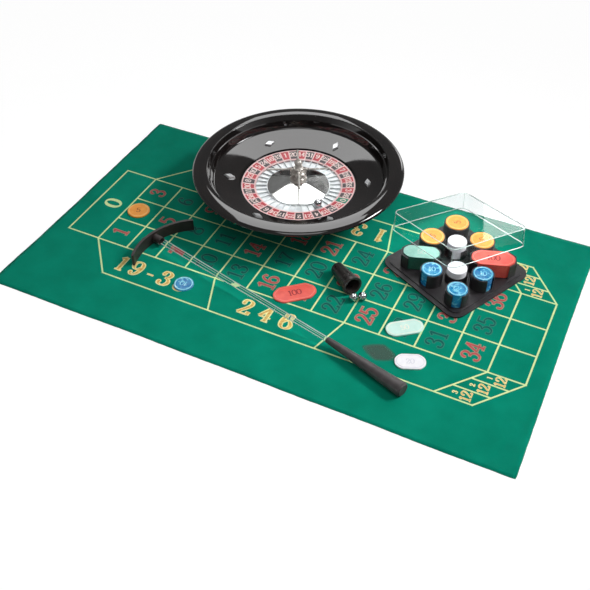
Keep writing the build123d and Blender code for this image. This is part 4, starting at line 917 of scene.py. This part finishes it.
def studio_floor():
    """A wide floor that looks white to the camera, in mirrors and through the clear parts."""
    mesh = bpy.data.meshes.new("studio_floor")
    signs = ((-1, -1), (1, -1), (1, 1), (-1, 1))
    mesh.from_pydata([(x * FLOOR_REACH, y * FLOOR_REACH, FLOOR_LEVEL) for x, y in signs], [], [(0, 1, 2, 3)])
    floor = bpy.data.objects.new("studio_floor", mesh)
    bpy.context.scene.collection.objects.link(floor)
    material = bpy.data.materials.new("floor_white")
    material.use_nodes = True
    nodes, links = material.node_tree.nodes, material.node_tree.links
    nodes.clear()

    def combined(operation, a, b):
        node = nodes.new("ShaderNodeMath")
        node.operation = operation
        links.new(a, node.inputs[0])
        if isinstance(b, float):
            node.inputs[1].default_value = b
        else:
            links.new(b, node.inputs[1])
        return node.outputs[0]

    out, mix = nodes.new("ShaderNodeOutputMaterial"), nodes.new("ShaderNodeMixShader")
    lit, glow = nodes.new("ShaderNodeBsdfDiffuse"), nodes.new("ShaderNodeEmission")
    lit.inputs["Color"].default_value = (0.9, 0.9, 0.9, 1)
    glow.inputs["Strength"].default_value = FLOOR_GLOW
    path = nodes.new("ShaderNodeLightPath").outputs
    seen = combined("MAXIMUM", path["Is Camera Ray"], path["Is Glossy Ray"])
    seen = combined("MAXIMUM", seen, path["Is Transmission Ray"])
    links.new(combined("MULTIPLY", seen, FLOOR_GLOW_SHARE), mix.inputs["Fac"])
    links.new(lit.outputs[0], mix.inputs[1])
    links.new(glow.outputs[0], mix.inputs[2])
    links.new(mix.outputs[0], out.inputs["Surface"])
    mesh.materials.append(material)


def studio_world():
    """White at the horizon, a dark ceiling over it, and plain white behind the object."""
    world = bpy.data.worlds.new("studio")
    bpy.context.scene.world = world
    world.use_nodes = True
    nodes, links = world.node_tree.nodes, world.node_tree.links
    nodes.clear()
    place, split = nodes.new("ShaderNodeTexCoord"), nodes.new("ShaderNodeSeparateXYZ")
    ramp, path = nodes.new("ShaderNodeValToRGB"), nodes.new("ShaderNodeLightPath")
    sky, behind = nodes.new("ShaderNodeBackground"), nodes.new("ShaderNodeBackground")
    mix, out = nodes.new("ShaderNodeMixShader"), nodes.new("ShaderNodeOutputWorld")
    while len(ramp.color_ramp.elements) < len(SKY):
        ramp.color_ramp.elements.new(0.5)
    for element, (position, level) in zip(ramp.color_ramp.elements, SKY):
        element.position = position
        element.color = (level, level, level, 1)
    links.new(place.outputs["Generated"], split.inputs[0])
    links.new(split.outputs["Z"], ramp.inputs["Fac"])
    links.new(ramp.outputs["Color"], sky.inputs["Color"])
    behind.inputs["Color"].default_value = (1, 1, 1, 1)
    links.new(path.outputs["Is Camera Ray"], mix.inputs["Fac"])
    links.new(sky.outputs[0], mix.inputs[1])
    links.new(behind.outputs[0], mix.inputs[2])
    links.new(mix.outputs[0], out.inputs["Surface"])


RIGHT = Vector((0.8994, 0.4371, 0.0))       # level directions of the photograph's camera
AWAY = Vector((-0.4371, 0.8994, 0.0))
UP = Vector((0.0, 0.0, 1.0))
ABOVE_WHEEL = Vector((WHEEL[0] * MM, WHEEL[1] * MM, 0.05))
LID_SPOT = Vector((0.147, 0.108, 0.03))
FRONT_SPOT = Vector((0.05, -0.09, 0.0))
CHIPS_SPOT = Vector((0.01, -0.09, 0.0))


def softbox(name, centre, aim, size, power, spread=180, glossy_only=False):
    """An area lamp that faces a point, hidden from the camera, and from matt surfaces if glossy_only."""
    light = bpy.data.lights.new(name, "AREA")
    light.shape = "RECTANGLE"
    light.size, light.size_y = size
    light.energy = power
    light.spread = math.radians(spread)
    lamp = bpy.data.objects.new(name, light)
    bpy.context.scene.collection.objects.link(lamp)
    back = (centre - aim).normalized()
    up = back.cross(RIGHT).normalized()
    right = up.cross(back).normalized()
    lamp.matrix_world = Matrix.Translation(centre) @ Matrix((right, up, back)).transposed().to_4x4()
    lamp.visible_camera = False
    lamp.visible_diffuse = not glossy_only


def seen_from_wheel(heading, elevation, distance):
    """A point at a heading and an elevation from the wheel, in degrees, and a distance in metres."""
    e = math.radians(elevation)
    return ABOVE_WHEEL + (heading_way(heading) * math.cos(e) + UP * math.sin(e)) * distance


def studio_lamps():
    """One large softbox far over the wheel with a wing at its side, three lamps round it and a panel."""
    key = ABOVE_WHEEL + UP + AWAY * 0.73 - RIGHT * 0.01
    wing = key + RIGHT * 0.345 - AWAY * 0.25
    panel = LID_SPOT + (heading_way(93.5) + UP * 0.3) * 1.8
    softbox("key_softbox", key, key - UP, (0.63, 0.95), 7.3, glossy_only=True)
    softbox("key_wing", wing, wing - UP, (0.06, 0.45), 0.33, glossy_only=True)
    softbox("rear_softbox", seen_from_wheel(115.9, 31, 1.6), ABOVE_WHEEL, (0.31, 0.23), 0.7)
    softbox("right_softbox", seen_from_wheel(22, 41, 1.5), CHIPS_SPOT, (0.42, 0.42), 1.25, 43)
    softbox("front_softbox", seen_from_wheel(-60, 62, 0.95), FRONT_SPOT, (0.5, 0.5), 1.95)
    softbox("rear_panel", panel, LID_SPOT, (0.5, 0.5), 3.4, glossy_only=True)


def make_camera():
    """The photograph's camera, as solved from the layout's printed lines."""
    camera = bpy.data.objects.new("camera", bpy.data.cameras.new("camera"))
    bpy.context.scene.collection.objects.link(camera)
    camera.data.sensor_width = 36.0
    camera.data.lens = 53.45
    camera.data.clip_start, camera.data.clip_end = 0.01, 50.0
    camera.matrix_world = Matrix(((0.8994, -0.3067, 0.3115, 0.3179), (0.4371, 0.6310, -0.6409, -0.6773),
                                  (0.0, 0.7126, 0.7016, 0.6860), (0, 0, 0, 1)))
    bpy.context.scene.camera = camera


studio_lamps()
studio_floor()
studio_world()
make_camera()
bpy.context.scene.view_settings.view_transform = "Standard"
